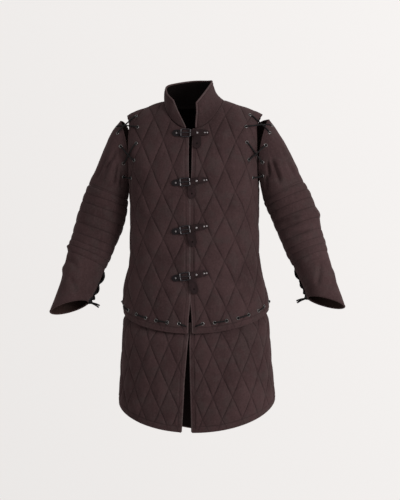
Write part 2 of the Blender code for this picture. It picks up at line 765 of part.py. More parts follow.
# ---------------------------------------------------------------- sleeves
class Sleeve:
    """One sleeve's outer surface, from the head (section 0) to the cuff (section 9)."""

    def __init__(self, name):
        self.name = name
        self.side = 1 if name == "left" else -1
        self.table = numbered(LEFT_ARM if name == "left" else RIGHT_ARM)
        self.scoop = HEAD_SCOOP[name]

    def point(self, section, turn, height=0.0):
        """A point of the sleeve: turn is 0 on its outer side and 90 degrees in front."""
        place = self.surface(section, turn)
        if height:
            small = 0.02
            around = self.surface(section, turn + small) - self.surface(section, turn - small)
            along = self.surface(section + small, turn) - self.surface(section - small, turn)
            place = place + height * self.side * along.cross(around).normalized() * -1
        return place

    def surface(self, section, turn):
        row = smooth_columns(self.table, "number", section)
        inside = Vector((row.in_x, 0, row.in_z))
        outside = Vector((row.out_x, 0, row.out_z))
        if section < 0:
            inside += (inside - self.end(0.05, "in")) * (section / -0.05)
            outside += (outside - self.end(0.05, "out")) * (section / -0.05)
        middle = (inside + outside) / 2
        half = (outside - inside) / 2
        forward = Vector((0, -row.deep, row.lean))
        place = middle + Vector((0, row.y, 0)) + half * math.cos(turn) + forward * math.sin(turn)
        place.x -= self.head_bow(turn) * max(0.0, 1 - max(section, 0.0) / 1.6) ** 2
        place.x *= self.side
        return place

    def head_bow(self, turn):
        """Bow of the head's edge; the upper quarter behind reaches further to the body."""
        across = abs(math.sin(turn))
        if math.sin(turn) > 0:
            return self.scoop.front * across**2
        if math.cos(turn) < 0:
            return self.scoop.back * across**2
        return self.scoop.back * across**0.7 + self.scoop.upper_back * across * math.cos(turn) * 2

    def end(self, section, which):
        row = smooth_columns(self.table, "number", section)
        if which == "in":
            return Vector((row.in_x, 0, row.in_z))
        return Vector((row.out_x, 0, row.out_z))

    def ring(self, section, turns, height):
        return [self.point(section, turn, height) for turn in turns]


def full_turns(count):
    return [2 * math.pi * i / count for i in range(count)]


def sleeve_upper(sleeve, finish):
    turns = full_turns(AROUND)
    sections = [0.0, 0.5, 1.1, 1.8, 2.8, ELBOW_START - 0.0025]
    outer = [sleeve.ring(section, turns, 0.0) for section in sections]
    inner = [sleeve.ring(section, turns, -SLEEVE_WALL) for section in sections]
    mesh = mesh_from(grid_wall(outer, inner, closed=True), "sleeve_upper")
    finish_shading(mesh)
    return add_object(f"sleeve_upper_{sleeve.name}", mesh, finish)


def sleeve_elbow(sleeve, finish):
    turns = full_turns(AROUND)
    start, end = ELBOW_START + 0.0025, ELBOW_END - 0.0025
    outer = []
    for index, section in enumerate(steps(start, end, CHANNELS * 2)):
        crest = CHANNEL_WALL if index % 2 else SLEEVE_WALL
        outer.append(sleeve.ring(section, turns, crest - SLEEVE_WALL))
    inner = [sleeve.ring(section, turns, -SLEEVE_WALL) for section in steps(start, end, 5)]
    mesh = mesh_from(grid_wall(outer, inner, closed=True), "sleeve_elbow")
    finish_shading(mesh, 12)
    return add_object(f"sleeve_elbow_{sleeve.name}", mesh, finish)


def slit_half_angle(section):
    """Half the angle that the open forearm seam takes up."""
    share = min(max((section - SLIT_START) / (CUFF - SLIT_START), 0.0), 1.0)
    gap = SLIT_HALF_GAP + (SLIT_HALF_GAP_CUFF - SLIT_HALF_GAP) * share
    return gap / FOREARM_RADIUS


def sleeve_forearm(sleeve, finish):
    sections = [ELBOW_END + 0.0025] + steps(SLIT_START, CUFF, 4)
    slit = math.radians(SLIT_TURN)
    outer, inner = [], []
    for section in sections:
        half = slit_half_angle(section)
        turns = steps(slit + half, slit - half + 2 * math.pi, AROUND)
        outer.append(sleeve.ring(section, turns, 0.0))
        inner.append(sleeve.ring(section, turns, -SLEEVE_WALL))
    mesh = mesh_from(grid_wall(outer, inner, closed=False), "sleeve_forearm")
    finish_shading(mesh)
    return add_object(f"sleeve_forearm_{sleeve.name}", mesh, finish)


def gusset_height(section):
    """How far the gusset's middle stands above the sleeve's surface between the laces."""
    share = (section - SLIT_START) / (CUFF - SLIT_START)
    return GUSSET_BULGE * (0.25 + 0.75 * abs(math.sin(math.pi * GUSSET_BULGES * share)))


def forearm_gusset(sleeve, finish):
    slit = math.radians(SLIT_TURN)
    under = -SLEEVE_WALL - GUSSET_UNDER
    outer, inner = [], []
    for section in steps(SLIT_START, CUFF, GUSSET_BULGES * 2)[:-1] + [CUFF - 0.05]:
        reach = slit_half_angle(section) * 0.6
        crest = gusset_height(section)
        profile = ((-GUSSET_SEAM, under), (-reach, under), (0.0, crest),
                   (reach, under), (GUSSET_SEAM, under))
        outer.append([sleeve.point(section, slit + angle, height) for angle, height in profile])
        inner.append([sleeve.point(section, slit + angle, height - GUSSET_WALL)
                      for angle, height in profile])
    mesh = mesh_from(grid_wall(outer, inner, closed=False), "forearm_gusset")
    finish_shading(mesh)
    return add_object(f"forearm_gusset_{sleeve.name}", mesh, finish)


# ---------------------------------------------------------------- things on a panel
class Ground:
    """The faces of pieces already built, on which straps and laces are seated."""

    REACH = 0.04

    def __init__(self, pieces):
        spots, faces = [], []
        for made in pieces:
            first = len(spots)
            spots += [vert.co.copy() for vert in made.data.vertices]
            faces += [[first + i for i in face.vertices] for face in made.data.polygons]
        self.tree = BVHTree.FromPolygons(spots, faces)

    def height(self, place, normal):
        """Height of the outermost face over a place, along the normal; far below if none."""
        distance = self.tree.ray_cast(place + self.REACH * normal, -normal, 2 * self.REACH)[3]
        return -self.REACH if distance is None else self.REACH - distance

    def lace_place(self, place, normal, resting=False):
        """A place for a lace's middle line: lifted out of the cloth, or resting on it."""
        across = normal.orthogonal().normalized() * (LACE_RADIUS if resting else LACE_ROOM)
        along = normal.cross(across)
        spots = [place + i * across + j * along for i in (-1, 0, 1) for j in (-1, 0, 1)]
        lift = max(self.height(spot, normal) for spot in spots) + LACE_RADIUS + CLEAR
        return place + lift * normal if resting or lift > 0 else place


class FrontFace:
    """Places on the coat's front, given by their distance across and height."""

    def __init__(self, draft, ground):
        self.draft = draft
        self.ground = ground

    def lining(self, x, height_on_body):
        level, turn = place_from_front(abs(x), height_on_body, self.draft.back)
        turn = math.copysign(turn, x)
        return lining_point(level, turn), lining_normal(level, turn)

    def point(self, x, height_on_body, lift):
        place, normal = self.lining(x, height_on_body)
        return place + lift * normal

    def seat(self, closure):
        """Height over the lining at which a closure's leather rests on the cloth."""
        across = [(x, z) for x in steps(-CLOSURE_HALF, CLOSURE_HALF, 36)
                  for z in steps(-STRAP_HEIGHT / 2, STRAP_HEIGHT / 2, 7)]
        foot = -STRAP_HEIGHT / 2 - closure.tail_length
        hanging = [(closure.tail_x + x, z) for x in steps(-TAIL_WIDTH / 2, TAIL_WIDTH / 2, 8)
                   for z in steps(foot, 0, 16)]
        top = 0.0
        for spot in across + hanging:
            x, z = tilted(spot, closure)
            top = max(top, self.ground.height(*self.lining(x, closure.height + z)))
        return top + CLEAR


def tilted(spot, closure):
    """A flat place of a closure, turned with it."""
    tilt = math.radians(closure.tilt)
    return (spot[0] * math.cos(tilt) - spot[1] * math.sin(tilt),
            spot[0] * math.sin(tilt) + spot[1] * math.cos(tilt))


def plate(face, outline, closure, low, segments):
    """A flat shape cut from leather, laid over the front at a height above the lining."""
    bm = bmesh.new()
    bm.faces.new([bm.verts.new((x, z, 0)) for x, z in outline])
    across = [((x, 0, 0), (1, 0, 0)) for x in steps(-CLOSURE_HALF, CLOSURE_HALF, segments)[1:-1]]
    down = [((0, z, 0), (0, 1, 0)) for z in TAIL_CUTS]
    for place, direction in across + down:
        geometry = bm.verts[:] + bm.edges[:] + bm.faces[:]
        bmesh.ops.bisect_plane(bm, geom=geometry, plane_co=place, plane_no=direction)
    raised = bmesh.ops.extrude_face_region(bm, geom=bm.faces[:])["geom"]
    for item in raised:
        if isinstance(item, bmesh.types.BMVert):
            item.co.z = 1
    bmesh.ops.recalc_face_normals(bm, faces=bm.faces)
    bmesh.ops.triangulate(bm, faces=bm.faces)
    for vert in bm.verts:
        x, z = tilted(vert.co.xy, closure)
        vert.co = face.point(x, closure.height + z, low + LEATHER * (vert.co.z > 0.5))
    return bm


def closure_tab(face, number, closure, seat, finish):
    """The leather tab on the right front: pointed outwards, folded round the buckle's bar."""
    half = STRAP_HEIGHT / 2
    end = BUCKLE_LEFT_BAR - BUCKLE_WIRE / 2 - CLEAR
    outline = [(-CLOSURE_HALF, 0), (-CLOSURE_HALF + 0.004, -half * 0.55),
               (-CLOSURE_HALF + 0.011, -half * 0.95), (end, -half * 0.8),
               (end, half * 0.8), (-CLOSURE_HALF + 0.011, half * 0.95),
               (-CLOSURE_HALF + 0.004, half * 0.55)]
    bm = plate(face, outline, closure, seat, 8)
    return add_object(f"closure_{number}_tab", mesh_from(bm, "tab"), finish)


def closure_strap(face, number, closure, seat, finish):
    """The strap from the left front, through the buckle, with its tail hanging down."""
    half = STRAP_HEIGHT / 2
    start = BUCKLE_LEFT_BAR + BUCKLE_WIRE / 2 + 0.0012
    tail_left = closure.tail_x - TAIL_WIDTH / 2
    tail_right = closure.tail_x + TAIL_WIDTH / 2
    tail_foot = -half - closure.tail_length
    outline = [(start, -half * 0.8), (max(start + 0.003, tail_left), -half * 0.9),
               (tail_left, tail_foot + 0.008), (closure.tail_x - 0.007, tail_foot),
               (closure.tail_x + 0.007, tail_foot), (tail_right, tail_foot + 0.008),
               (tail_right, -half), (CLOSURE_HALF - 0.010, -half * 0.8),
               (CLOSURE_HALF - 0.002, -half * 0.35), (CLOSURE_HALF, 0),
               (CLOSURE_HALF - 0.002, half * 0.35), (CLOSURE_HALF - 0.010, half * 0.8),
               (0.020, half), (start, half * 0.8)]
    bm = plate(face, outline, closure, seat, 10)
    return add_object(f"closure_{number}_strap", mesh_from(bm, "strap"), finish)


def closure_buckle(face, number, closure, seat, finish):
    """A rectangular frame with a prong that lies over the strap."""
    half = BUCKLE_HEIGHT / 2
    wire = BUCKLE_WIRE
    low = seat + LEATHER + CLEAR
    left, right = BUCKLE_LEFT_BAR - wire / 2, BUCKLE_RIGHT_BAR + wire / 2
    corner = BUCKLE_CORNER
    outer = [(left, -half + corner), (left + corner, -half), (right - corner, -half),
             (right, -half + corner), (right, half - corner), (right - corner, half),
             (left + corner, half), (left, half - corner)]
    centre = (left + right) / 2
    inner = [(x + math.copysign(wire, centre - x), z - math.copysign(wire, z)) for x, z in outer]
    bm = bmesh.new()
    rings = []
    for outline, lift in ((outer, low), (outer, low + wire), (inner, low + wire), (inner, low)):
        rings.append([bm.verts.new((x, z, lift)) for x, z in outline])
    for ring, following in zip(rings, rings[1:] + rings[:1]):
        for i in range(len(ring)):
            j = (i + 1) % len(ring)
            bm.faces.new((ring[i], ring[j], following[j], following[i]))
    bmesh.ops.recalc_face_normals(bm, faces=bm.faces)
    frame = mesh_from(bm, "frame")
    prong = bmesh.new()
    bmesh.ops.create_cube(prong, size=1.0)
    for vert in prong.verts:
        vert.co = Vector((centre + vert.co.x * (right - left - wire), vert.co.y * PRONG_WIDTH,
                          low + wire * (0.55 + vert.co.z * 0.7)))
    mesh = combine(frame, mesh_from(prong, "prong"), "UNION")
    bm = bmesh.new()
    bm.from_mesh(mesh)
    bmesh.ops.triangulate(bm, faces=bm.faces)
    for vert in bm.verts:
        x, z = tilted(vert.co.xy, closure)
        vert.co = face.point(x, closure.height + z, vert.co.z)
    return add_object(f"closure_{number}_buckle", mesh_from(bm, "buckle"), finish)


# ---------------------------------------------------------------- laces
def tube_mesh(points, radius, bevel_resolution=1):
    """A lace along a few points, as a closed tube."""
    curve = bpy.data.curves.new("lace", "CURVE")
    curve.dimensions = "3D"
    curve.bevel_depth = radius
    curve.bevel_resolution = bevel_resolution
    curve.render_resolution_u = 0
    curve.use_fill_caps = True
    spline = curve.splines.new("POLY")
    spline.points.add(len(points) - 1)
    for spot, point in zip(spline.points, points):
        spot.co = (*point, 1)
    made = bpy.data.objects.new("lace", curve)
    bpy.context.scene.collection.objects.link(made)
    mesh = evaluated_mesh(made)
    bm = bmesh.new()
    bm.from_mesh(mesh)
    bmesh.ops.remove_doubles(bm, verts=bm.verts, dist=1e-6)
    bmesh.ops.triangulate(bm, faces=bm.faces)
    bmesh.ops.recalc_face_normals(bm, faces=bm.faces)
    return mesh_from(bm, "lace")


def lace_run(ground, start, end, count):
    """A straight run of lace, lifted clear of the cloth between its ends: each end is a
    place and the direction away from the cloth there."""
    run = [start[0]]
    for index in range(1, count):
        share = index / count
        outward = start[1].lerp(end[1], share).normalized()
        run.append(ground.lace_place(start[0].lerp(end[0], share), outward))
    return run + [end[0]]


def torso_eyelet(ground, sleeve, across, height, back):
    """Where a lace leaves one of the torso's eyelets, and the direction away from it."""
    level, turn = place_from_front(across, height, back)
    normal = lining_normal(level, turn * sleeve.side)
    place = lining_point(level, turn * sleeve.side)
    return ground.lace_place(place, normal, resting=True), normal


def sleeve_eyelet(ground, sleeve, section, turn_degrees):
    turn = math.radians(turn_degrees)
    place = sleeve.point(section, turn)
    normal = sleeve.point(section, turn, 1.0) - place
    return ground.lace_place(place, normal, resting=True), normal


def armhole_cross(sleeve, cross, ground, finish):
    """Two laces that cross between the torso's edge and the sleeve's head."""
    ends = [torso_eyelet(ground, sleeve, *spot, cross.back)
            for spot in (cross.torso_high, cross.torso_low)]
    ends += [sleeve_eyelet(ground, sleeve, *spot) for spot in (cross.sleeve_low, cross.sleeve_high)]
    outward = sum((normal for place, normal in ends), Vector()).normalized()
    middle = sum((place for place, normal in ends), Vector()) / len(ends)
    middle = (ground.lace_place(middle, outward), outward)
    laces = []
    for first, last in ((ends[0], ends[2]), (ends[1], ends[3])):
        route = lace_run(ground, first, middle, 4) + lace_run(ground, middle, last, 4)[1:]
        laces.append(tube_mesh(route, LACE_RADIUS))
    mesh = combine(*laces, "UNION")
    finish_shading(mesh)
    return add_object(f"armhole_lace_{cross.name}_{sleeve.name}", mesh, finish)


def armhole_stitch(sleeve, ground, sleeve_ground, finish):
    """The lowest lace at the front of the armhole, from the torso to the sleeve."""
    torso, arm = LOW_STITCH
    start = torso_eyelet(ground, sleeve, *torso, False)
    end = sleeve_eyelet(sleeve_ground, sleeve, *arm)
    mesh = tube_mesh(lace_run(ground, start, end, 5), LACE_RADIUS)
    finish_shading(mesh)
    return add_object(f"armhole_lace_low_{sleeve.name}", mesh, finish)


class WaistRow:
    """Distances round the body along the row of eyelets above the torso's lower edge."""

    def __init__(self, ground):
        self.ground = ground
        self.turns = steps(0, math.pi, 120)
        points = [self.lining(turn)[0] for turn in self.turns]
        self.distances = [0.0]
        for first, second in zip(points, points[1:]):
            self.distances.append(self.distances[-1] + (second - first).length)
        self.pitch = (self.distances[-1] - WAIST_FIRST) / (2 * WAIST_DASHES + 0.5)

    def eyelet(self, number):
        """Distance of an eyelet from the centre front."""
        return WAIST_FIRST + self.pitch * number

    def lining(self, turn):
        level = torso_hem(turn) + WAIST_RISE
        return lining_point(level, turn), lining_normal(level, turn)

    def spot(self, distance, side):
        """The lining's place and direction at a distance, and the cloth's height there."""
        place, normal = self.lining(float(np.interp(distance, self.distances, self.turns)) * side)
        return place, normal, self.ground.height(place, normal)


def waist_dash(row, side, number, start, end, finish):
    """One visible stretch of the waist lace, lying on the cloth between two eyelets."""
    stretches, fine = 4, 6
    spots = [row.spot(distance, side) for distance in steps(start, end, stretches * fine)]
    points = []
    for index in range(0, len(spots), fine):
        place, normal, _ = spots[index]
        near = spots[max(index - fine + 1, 0):index + fine]
        points.append(place + (max(spot[2] for spot in near) + LACE_RADIUS + CLEAR) * normal)
    mesh = tube_mesh(points, LACE_RADIUS)
    finish_shading(mesh)
    name = "left" if side > 0 else "right"
    return add_object(f"waist_lace_{name}_{number}", mesh, finish)


def forearm_lace(sleeve, finish):
    """The lace that draws the open forearm seam together, tied near the cuff."""
    slit = math.radians(SLIT_TURN)
    count = GUSSET_BULGES
    route = []
    for number in range(count + 1):
        section = SLIT_START + (CUFF - SLIT_START) * number / count
        section = min(max(section, SLIT_START + 0.08), CUFF - 0.12)
        half = slit_half_angle(section) + 0.10
        way = 1 if number % 2 else -1
        for angle in (-way * half, 0.0, way * half):
            lift = LACE_RADIUS + 3 * CLEAR
            if angle == 0.0:
                lift = max(lift, gusset_height(section) + LACE_RADIUS + 3 * CLEAR)
            route.append(sleeve.point(section + 0.02 * way * (angle > 0), slit + angle, lift))
    mesh = tube_mesh(route, LACE_RADIUS * 0.85)
    finish_shading(mesh)
    return add_object(f"forearm_lace_{sleeve.name}", mesh, finish)


# ---------------------------------------------------------------- the coat
def torso(cloth):
    front, back = Draft(False, TORSO_QUILT.origin), Draft(True, TORSO_QUILT.origin)
    pieces = [quilted_panel(f"torso_front_{name}", front, TORSO_QUILT,
                            torso_front_outline(front, name), cloth, side=side)
              for name, side in (("left", 1), ("right", -1))]
    outline = torso_back_outline(back)
    pieces.append(quilted_panel("torso_back", back, TORSO_QUILT, outline, cloth, band=False))
    return pieces


def skirt(cloth):
    front, back = Draft(False, SKIRT_QUILT.origin), Draft(True, SKIRT_QUILT.origin)
    for name, side in (("left", 1), ("right", -1)):
        quilted_panel(f"skirt_front_{name}", front, SKIRT_QUILT, skirt_outline(front, name),
                      cloth, side=side, inset=skirt_inset)
    quilted_panel("skirt_back", back, SKIRT_QUILT, skirt_outline(back), cloth,
                  inset=skirt_inset, band=False)


def collar(cloth):
    mesh = mesh_from(collar_mesh(28, (0.0, 0.4, 0.85, 1.0), COLLAR_WALL), "collar")
    finish_shading(mesh)
    return add_object("collar", mesh, cloth)


def arm(name, torso_pieces, cloth, black_cloth, lace):
    sleeve = Sleeve(name)
    upper = sleeve_upper(sleeve, cloth)
    sleeve_elbow(sleeve, cloth)
    sleeve_forearm(sleeve, cloth)
    forearm_gusset(sleeve, black_cloth)
    forearm_lace(sleeve, lace)
    ground = Ground(torso_pieces + [upper])
    for cross in CROSSES:
        armhole_cross(sleeve, cross, ground, lace)
    armhole_stitch(sleeve, ground, Ground([upper]), lace)


def closures(torso_pieces, leather, metal):
    face = FrontFace(Draft(False, TORSO_QUILT.origin), Ground(torso_pieces))
    for number, closure in enumerate(CLOSURES, 1):
        seat = face.seat(closure)
        closure_tab(face, number, closure, seat, leather)
        closure_strap(face, number, closure, seat, leather)
        closure_buckle(face, number, closure, seat, metal)


def waist_lace(torso_pieces, lace):
    row = WaistRow(Ground(torso_pieces))
    for side in (1, -1):
        waist_dash(row, side, 0, WAIST_START, WAIST_FIRST, lace)
        for number in range(1, WAIST_DASHES + 1):
            start, end = row.eyelet(2 * number - 1), row.eyelet(2 * number)
            waist_dash(row, side, number, start, end, lace)


def build():
    for made in list(bpy.data.objects):
        bpy.data.objects.remove(made)
    cloth = material("cloth", 0.92)
    black_cloth = material("black_cloth", 0.95)
    lace = material("lace", 0.8)
    torso_pieces = torso(cloth)
    skirt(cloth)
    collar(cloth)
    for name in ("left", "right"):
        arm(name, torso_pieces, cloth, black_cloth, lace)
    closures(torso_pieces, material("leather", 0.55), material("metal", 0.35, 1.0))
    waist_lace(torso_pieces, lace)


build()
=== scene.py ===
"""The gambeson's looks, dressed over its CAD frame.

Metres, +Z up, front towards -Y, the wearer's left towards +X, as in the frame.  Each
cloth piece is cut again from a finer sheet and laid over the same body form as its
solid, so that seams, quilting and hems fall where the solids have them.
"""

import math
from collections import namedtuple

import bmesh
import bpy
import numpy as np
from mathutils import Matrix, Vector, noise
from mathutils.bvhtree import BVHTree


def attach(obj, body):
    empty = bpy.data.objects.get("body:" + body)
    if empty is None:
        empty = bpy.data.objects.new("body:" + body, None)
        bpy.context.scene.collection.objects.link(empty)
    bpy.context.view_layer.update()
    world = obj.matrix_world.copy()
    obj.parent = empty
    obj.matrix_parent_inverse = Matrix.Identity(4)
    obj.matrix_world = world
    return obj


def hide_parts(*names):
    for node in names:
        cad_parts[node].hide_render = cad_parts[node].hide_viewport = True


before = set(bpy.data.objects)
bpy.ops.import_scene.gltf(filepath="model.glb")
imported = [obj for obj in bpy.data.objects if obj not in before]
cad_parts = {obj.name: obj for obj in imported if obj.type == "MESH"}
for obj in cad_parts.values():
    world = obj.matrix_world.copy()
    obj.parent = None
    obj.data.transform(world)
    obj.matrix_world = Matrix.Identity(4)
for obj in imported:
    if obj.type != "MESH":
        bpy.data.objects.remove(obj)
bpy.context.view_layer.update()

# ---- the form's sizes (m)
SEAM_GAP = 0.0003            # between two pieces that are sewn together
CLEAR = 0.0004               # between a piece and what it lies on
CHEST_Z = -0.240             # the underarm; above it the body rounds over to the shoulders
CAP_ARC = 0.270              # cloth from the underarm over to the shoulder ridge
RIDGE_TOP = 0.0209           # the shoulder ridge: its height at the neck,
RIDGE_SLOPE = 0.457          # its fall towards the arm,
RIDGE_SOFT = 0.100           # and how softly the fall begins
SHOULDER_TIP = 0.201         # half the width between the tips, along the ridge
NECK_HALF_WIDTH = 0.0885
NECK_FRONT = 0.104
NECK_BACK = 0.052
NECK_SQUARENESS = 2.6
TORSO_HEM_SIDE = -0.616      # a hem's height at the side, and how far it dips in the middle
TORSO_HEM_DIP = 0.063
TORSO_HEM_DIP_BACK = 0.050
SKIRT_TUCK = 0.030           # what the torso hides of the skirt
SKIRT_HEM_SIDE = -0.884
SKIRT_HEM_DIP = 0.080
SKIRT_HEM_DIP_BACK = 0.111
HEM_CURVE = 1.25
HEM_CURVE_BACK = 1.8
EDGE_WALL = 0.0042           # thickness of the cloth at an edge
BAND_WALL = 0.0060           # and of a plain band beside it
EDGE_TAPER = 0.011           # over which a panel thins out to its edge
SKIRT_STEP = 0.0027          # how far the skirt keeps below the torso's lower edge,
SKIRT_STEP_REACH = 0.034     # and over what height it comes out again
SLEEVE_WALL = 0.0042
COLLAR_WALL = 0.0060
LACE_RADIUS = 0.0021
LEATHER = 0.0024             # thickness of tabs and straps


def rows_of(kind, *rows):
    """A table of named columns."""
    return [kind(*row) for row in rows]


def cap_level(rise):
    """Level above the underarm: 0 there, 1 on the shoulder ridge."""
    return CHEST_Z + rise * CAP_ARC


RIDGE_LEVEL = cap_level(1.0)
Section = namedtuple("Section", "level half_width front back squareness swing")
BODY = rows_of(
    Section,
    (-1.030, 0.2370, 0.170, 0.186, 2.4, 0.0085),
    (-0.900, 0.2300, 0.163, 0.176, 2.4, 0.0080),
    (-0.780, 0.2195, 0.155, 0.166, 2.4, 0.0060),
    (-0.660, 0.2125, 0.147, 0.154, 2.4, 0.0045),
    (-0.600, 0.2130, 0.144, 0.149, 2.4, 0.0045),
    (-0.570, 0.2100, 0.141, 0.144, 2.4, 0.0030),
    (-0.540, 0.2035, 0.138, 0.138, 2.4, 0.0012),
    (-0.510, 0.1965, 0.134, 0.131, 2.4, 0.0004),
    (-0.480, 0.1905, 0.130, 0.125, 2.4, 0.0000),
    (-0.440, 0.1870, 0.128, 0.120, 2.4, 0.0000),
    (-0.360, 0.1860, 0.129, 0.119, 2.5, 0.0000),
    (-0.300, 0.1865, 0.131, 0.122, 2.7, 0.0000),
    (cap_level(0.0), 0.1880, 0.132, 0.125, 2.9, 0.0000),
    (cap_level(0.3), 0.2020, 0.131, 0.124, 3.0, 0.0000),
    (cap_level(0.5), 0.2120, 0.129, 0.122, 3.0, 0.0000),
    (cap_level(0.7), 0.2200, 0.127, 0.120, 3.0, 0.0000),
    (cap_level(1.0), 0.2310, 0.125, 0.118, 3.0, 0.0000),
)

Quilt = namedtuple("Quilt", "width height stitch puff origin")
TORSO_QUILT = Quilt(0.0645, 0.138, 0.0036, 0.0092, -0.266)
SKIRT_QUILT = Quilt(0.0560, 0.127, 0.0036, 0.0088, -0.800)
TORSO_SHIFT = {"right": (0.0180, 0.0), "left": (0.0040, 0.0)}        # of the front's diamonds
SKIRT_SHIFT = {"right": (0.0100, -0.0360), "left": (-0.0220, 0.0)}

ArmholePoint = namedtuple("ArmholePoint", "number reach height")
ARMHOLE = rows_of(
    ArmholePoint,
    (0, 0.022, -0.0405),
    (1, 0.042, -0.0560),
    (2, 0.060, -0.0850),
    (3, 0.068, -0.1300),
    (4, 0.065, -0.1700),
    (5, 0.053, -0.2050),
    (6, 0.032, -0.2290),
)

FrontEdge = namedtuple("FrontEdge", "height right left")
TORSO_FRONT_EDGE = rows_of(
    FrontEdge,
    (-0.700, 0.0115, 0.0050),
    (-0.640, 0.0095, 0.0035),
    (-0.585, 0.0035, -0.0010),
    (-0.540, 0.0016, 0.0008),
    (-0.260, 0.0012, 0.0012),
    (-0.215, 0.0040, 0.0040),
    (-0.130, 0.0045, 0.0045),
    (-0.070, 0.0028, 0.0028),
)
SKIRT_FRONT_EDGE = rows_of(
    FrontEdge,
    (-0.980, 0.0315, 0.0010),
    (-0.820, 0.0220, -0.0010),
    (-0.700, 0.0110, -0.0020),
    (-0.640, 0.0070, -0.0020),
)

CollarStation = namedtuple("CollarStation", "turn x y z bow")
COLLAR_TOP = rows_of(
    CollarStation,
    (9, 0.0150, -0.0900, -0.0060, -0.0010),
    (28, 0.0270, -0.0790, 0.0110, -0.0020),
    (55, 0.0410, -0.0560, 0.0350, -0.0060),
    (90, 0.0510, -0.0080, 0.0630, -0.0090),
    (135, 0.0330, 0.0430, 0.0720, -0.0050),
    (180, -0.0120, 0.0600, 0.0745, 0.0000),
    (225, -0.0600, 0.0400, 0.0650, 0.0020),
    (270, -0.0805, -0.0080, 0.0500, 0.0020),
    (305, -0.0760, -0.0500, 0.0280, 0.0020),
    (332, -0.0660, -0.0730, 0.0140, 0.0020),
    (351, -0.0540, -0.0860, 0.0020, 0.0010),
)

ArmSection = namedtuple("ArmSection", "number in_x in_z out_x out_z y deep lean")
RIGHT_ARM = rows_of(
    ArmSection,
    (0, 0.1972, -0.2400, 0.2245, -0.0500, 0.000, 0.068, 0.000),
    (1, 0.1985, -0.2500, 0.2460, -0.0770, 0.001, 0.072, 0.000),
    (2, 0.2000, -0.2600, 0.2705, -0.1230, 0.004, 0.076, 0.000),
    (3, 0.2015, -0.2720, 0.2966, -0.1830, 0.007, 0.077, 0.000),
    (4, 0.2040, -0.2865, 0.3220, -0.2410, 0.010, 0.076, 0.002),
    (5, 0.2150, -0.3565, 0.3470, -0.3080, 0.012, 0.073, 0.003),
    (6, 0.2480, -0.4380, 0.3710, -0.3930, 0.008, 0.069, 0.008),
    (7, 0.2710, -0.4940, 0.3840, -0.4460, -0.005, 0.063, 0.014),
    (8, 0.3000, -0.5670, 0.3990, -0.5310, -0.028, 0.056, 0.016),
    (9, 0.3130, -0.5910, 0.4300, -0.6240, -0.050, 0.055, 0.016),
)
LEFT_ARM = rows_of(
    ArmSection,
    (0, 0.1970, -0.2370, 0.2250, -0.0500, -0.005, 0.067, 0.000),
    (1, 0.1985, -0.2480, 0.2475, -0.0800, -0.002, 0.072, 0.000),
    (2, 0.2005, -0.2600, 0.2770, -0.1270, 0.004, 0.076, 0.000),
    (3, 0.2035, -0.2750, 0.3040, -0.1860, 0.007, 0.077, 0.000),
    (4, 0.2085, -0.2940, 0.3270, -0.2350, 0.010, 0.076, 0.002),
    (5, 0.2330, -0.3480, 0.3580, -0.2980, 0.012, 0.073, 0.003),
    (6, 0.2670, -0.4290, 0.3810, -0.3840, 0.008, 0.069, 0.008),
    (7, 0.2960, -0.4860, 0.3985, -0.4440, -0.005, 0.063, 0.014),
    (8, 0.3270, -0.5480, 0.4200, -0.5180, -0.028, 0.056, 0.016),
    (9, 0.3380, -0.5780, 0.4500, -0.6030, -0.050, 0.055, 0.016),
)
Scoop = namedtuple("Scoop", "front back upper_back")
HEAD_SCOOP = {"right": Scoop(0.0165, 0.0180, 0.0), "left": Scoop(0.0095, 0.0300, 0.0200)}
ELBOW_START = 4.0            # places along a sleeve are counted in sections
ELBOW_END = 7.0
CUFF = 9.0
CHANNELS = 8
ELBOW_SEAM = {"right": (40, 4.0), "left": (30, 5.2)}       # degrees round, and where it starts
SLIT_TURN = math.radians(196)                        # of the forearm's open seam
SLIT_START = 7.10
SLIT_HALF_GAP = 0.0030
SLIT_HALF_GAP_CUFF = 0.0085
FOREARM_RADIUS = 0.057
GUSSET_BULGE = 0.0095
GUSSET_BULGES = 4
GUSSET_SEAM = 0.20           # half its width, in radians
GUSSET_UNDER = 0.0016        # how far its rim lies under the sleeve
GUSSET_WALL = 0.0012
GUSSET_PUCKER = 0.0009

Closure = namedtuple("Closure", "height tilt tail_x tail_length")
CLOSURES = rows_of(
    Closure,
    (-0.0990, 0.0, 0.0200, 0.034),
    (-0.2390, 5.0, 0.0030, 0.039),
    (-0.3765, 10.0, 0.0010, 0.042),
    (-0.5145, 9.5, 0.0050, 0.043),
)
CLOSURE_HALF = 0.054         # half a closure's length
STRAP_HEIGHT = 0.021
BUCKLE_HEIGHT = 0.025
BUCKLE_LEFT_BAR = -0.0275
BUCKLE_RIGHT_BAR = -0.0005
BUCKLE_WIRE = 0.0032
TAIL_WIDTH = 0.024
TAB_RIVET = -0.0405          # rivets along a closure, from its middle
STRAP_RIVET = 0.0195
END_RIVETS = (0.0415, 0.0485)

WAIST_FIRST = 0.0340         # from the centre line to the first eyelet
WAIST_START = 0.011          # and to where the lace comes out below the front edges
WAIST_DROP = 0.008
WAIST_DASHES = 8             # stitches of the lace on each side of the body
WAIST_RISE = 0.026           # of the eyelets over the torso's lower edge

Cross = namedtuple("Cross", "name back torso_high torso_low sleeve_high sleeve_low")
CROSSES = rows_of(
    Cross,
    ("front", False, (0.160, -0.125), (0.166, -0.174), (0.50, 75), (0.55, 107)),
    ("top", False, (0.168, -0.043), (0.158, -0.078), (0.50, 20), (0.50, 46)),
    ("back", True, (0.160, -0.125), (0.166, -0.174), (0.50, 285), (0.55, 253)),
)
LOW_STITCH = ((0.175, -0.225), (1.1, 130))

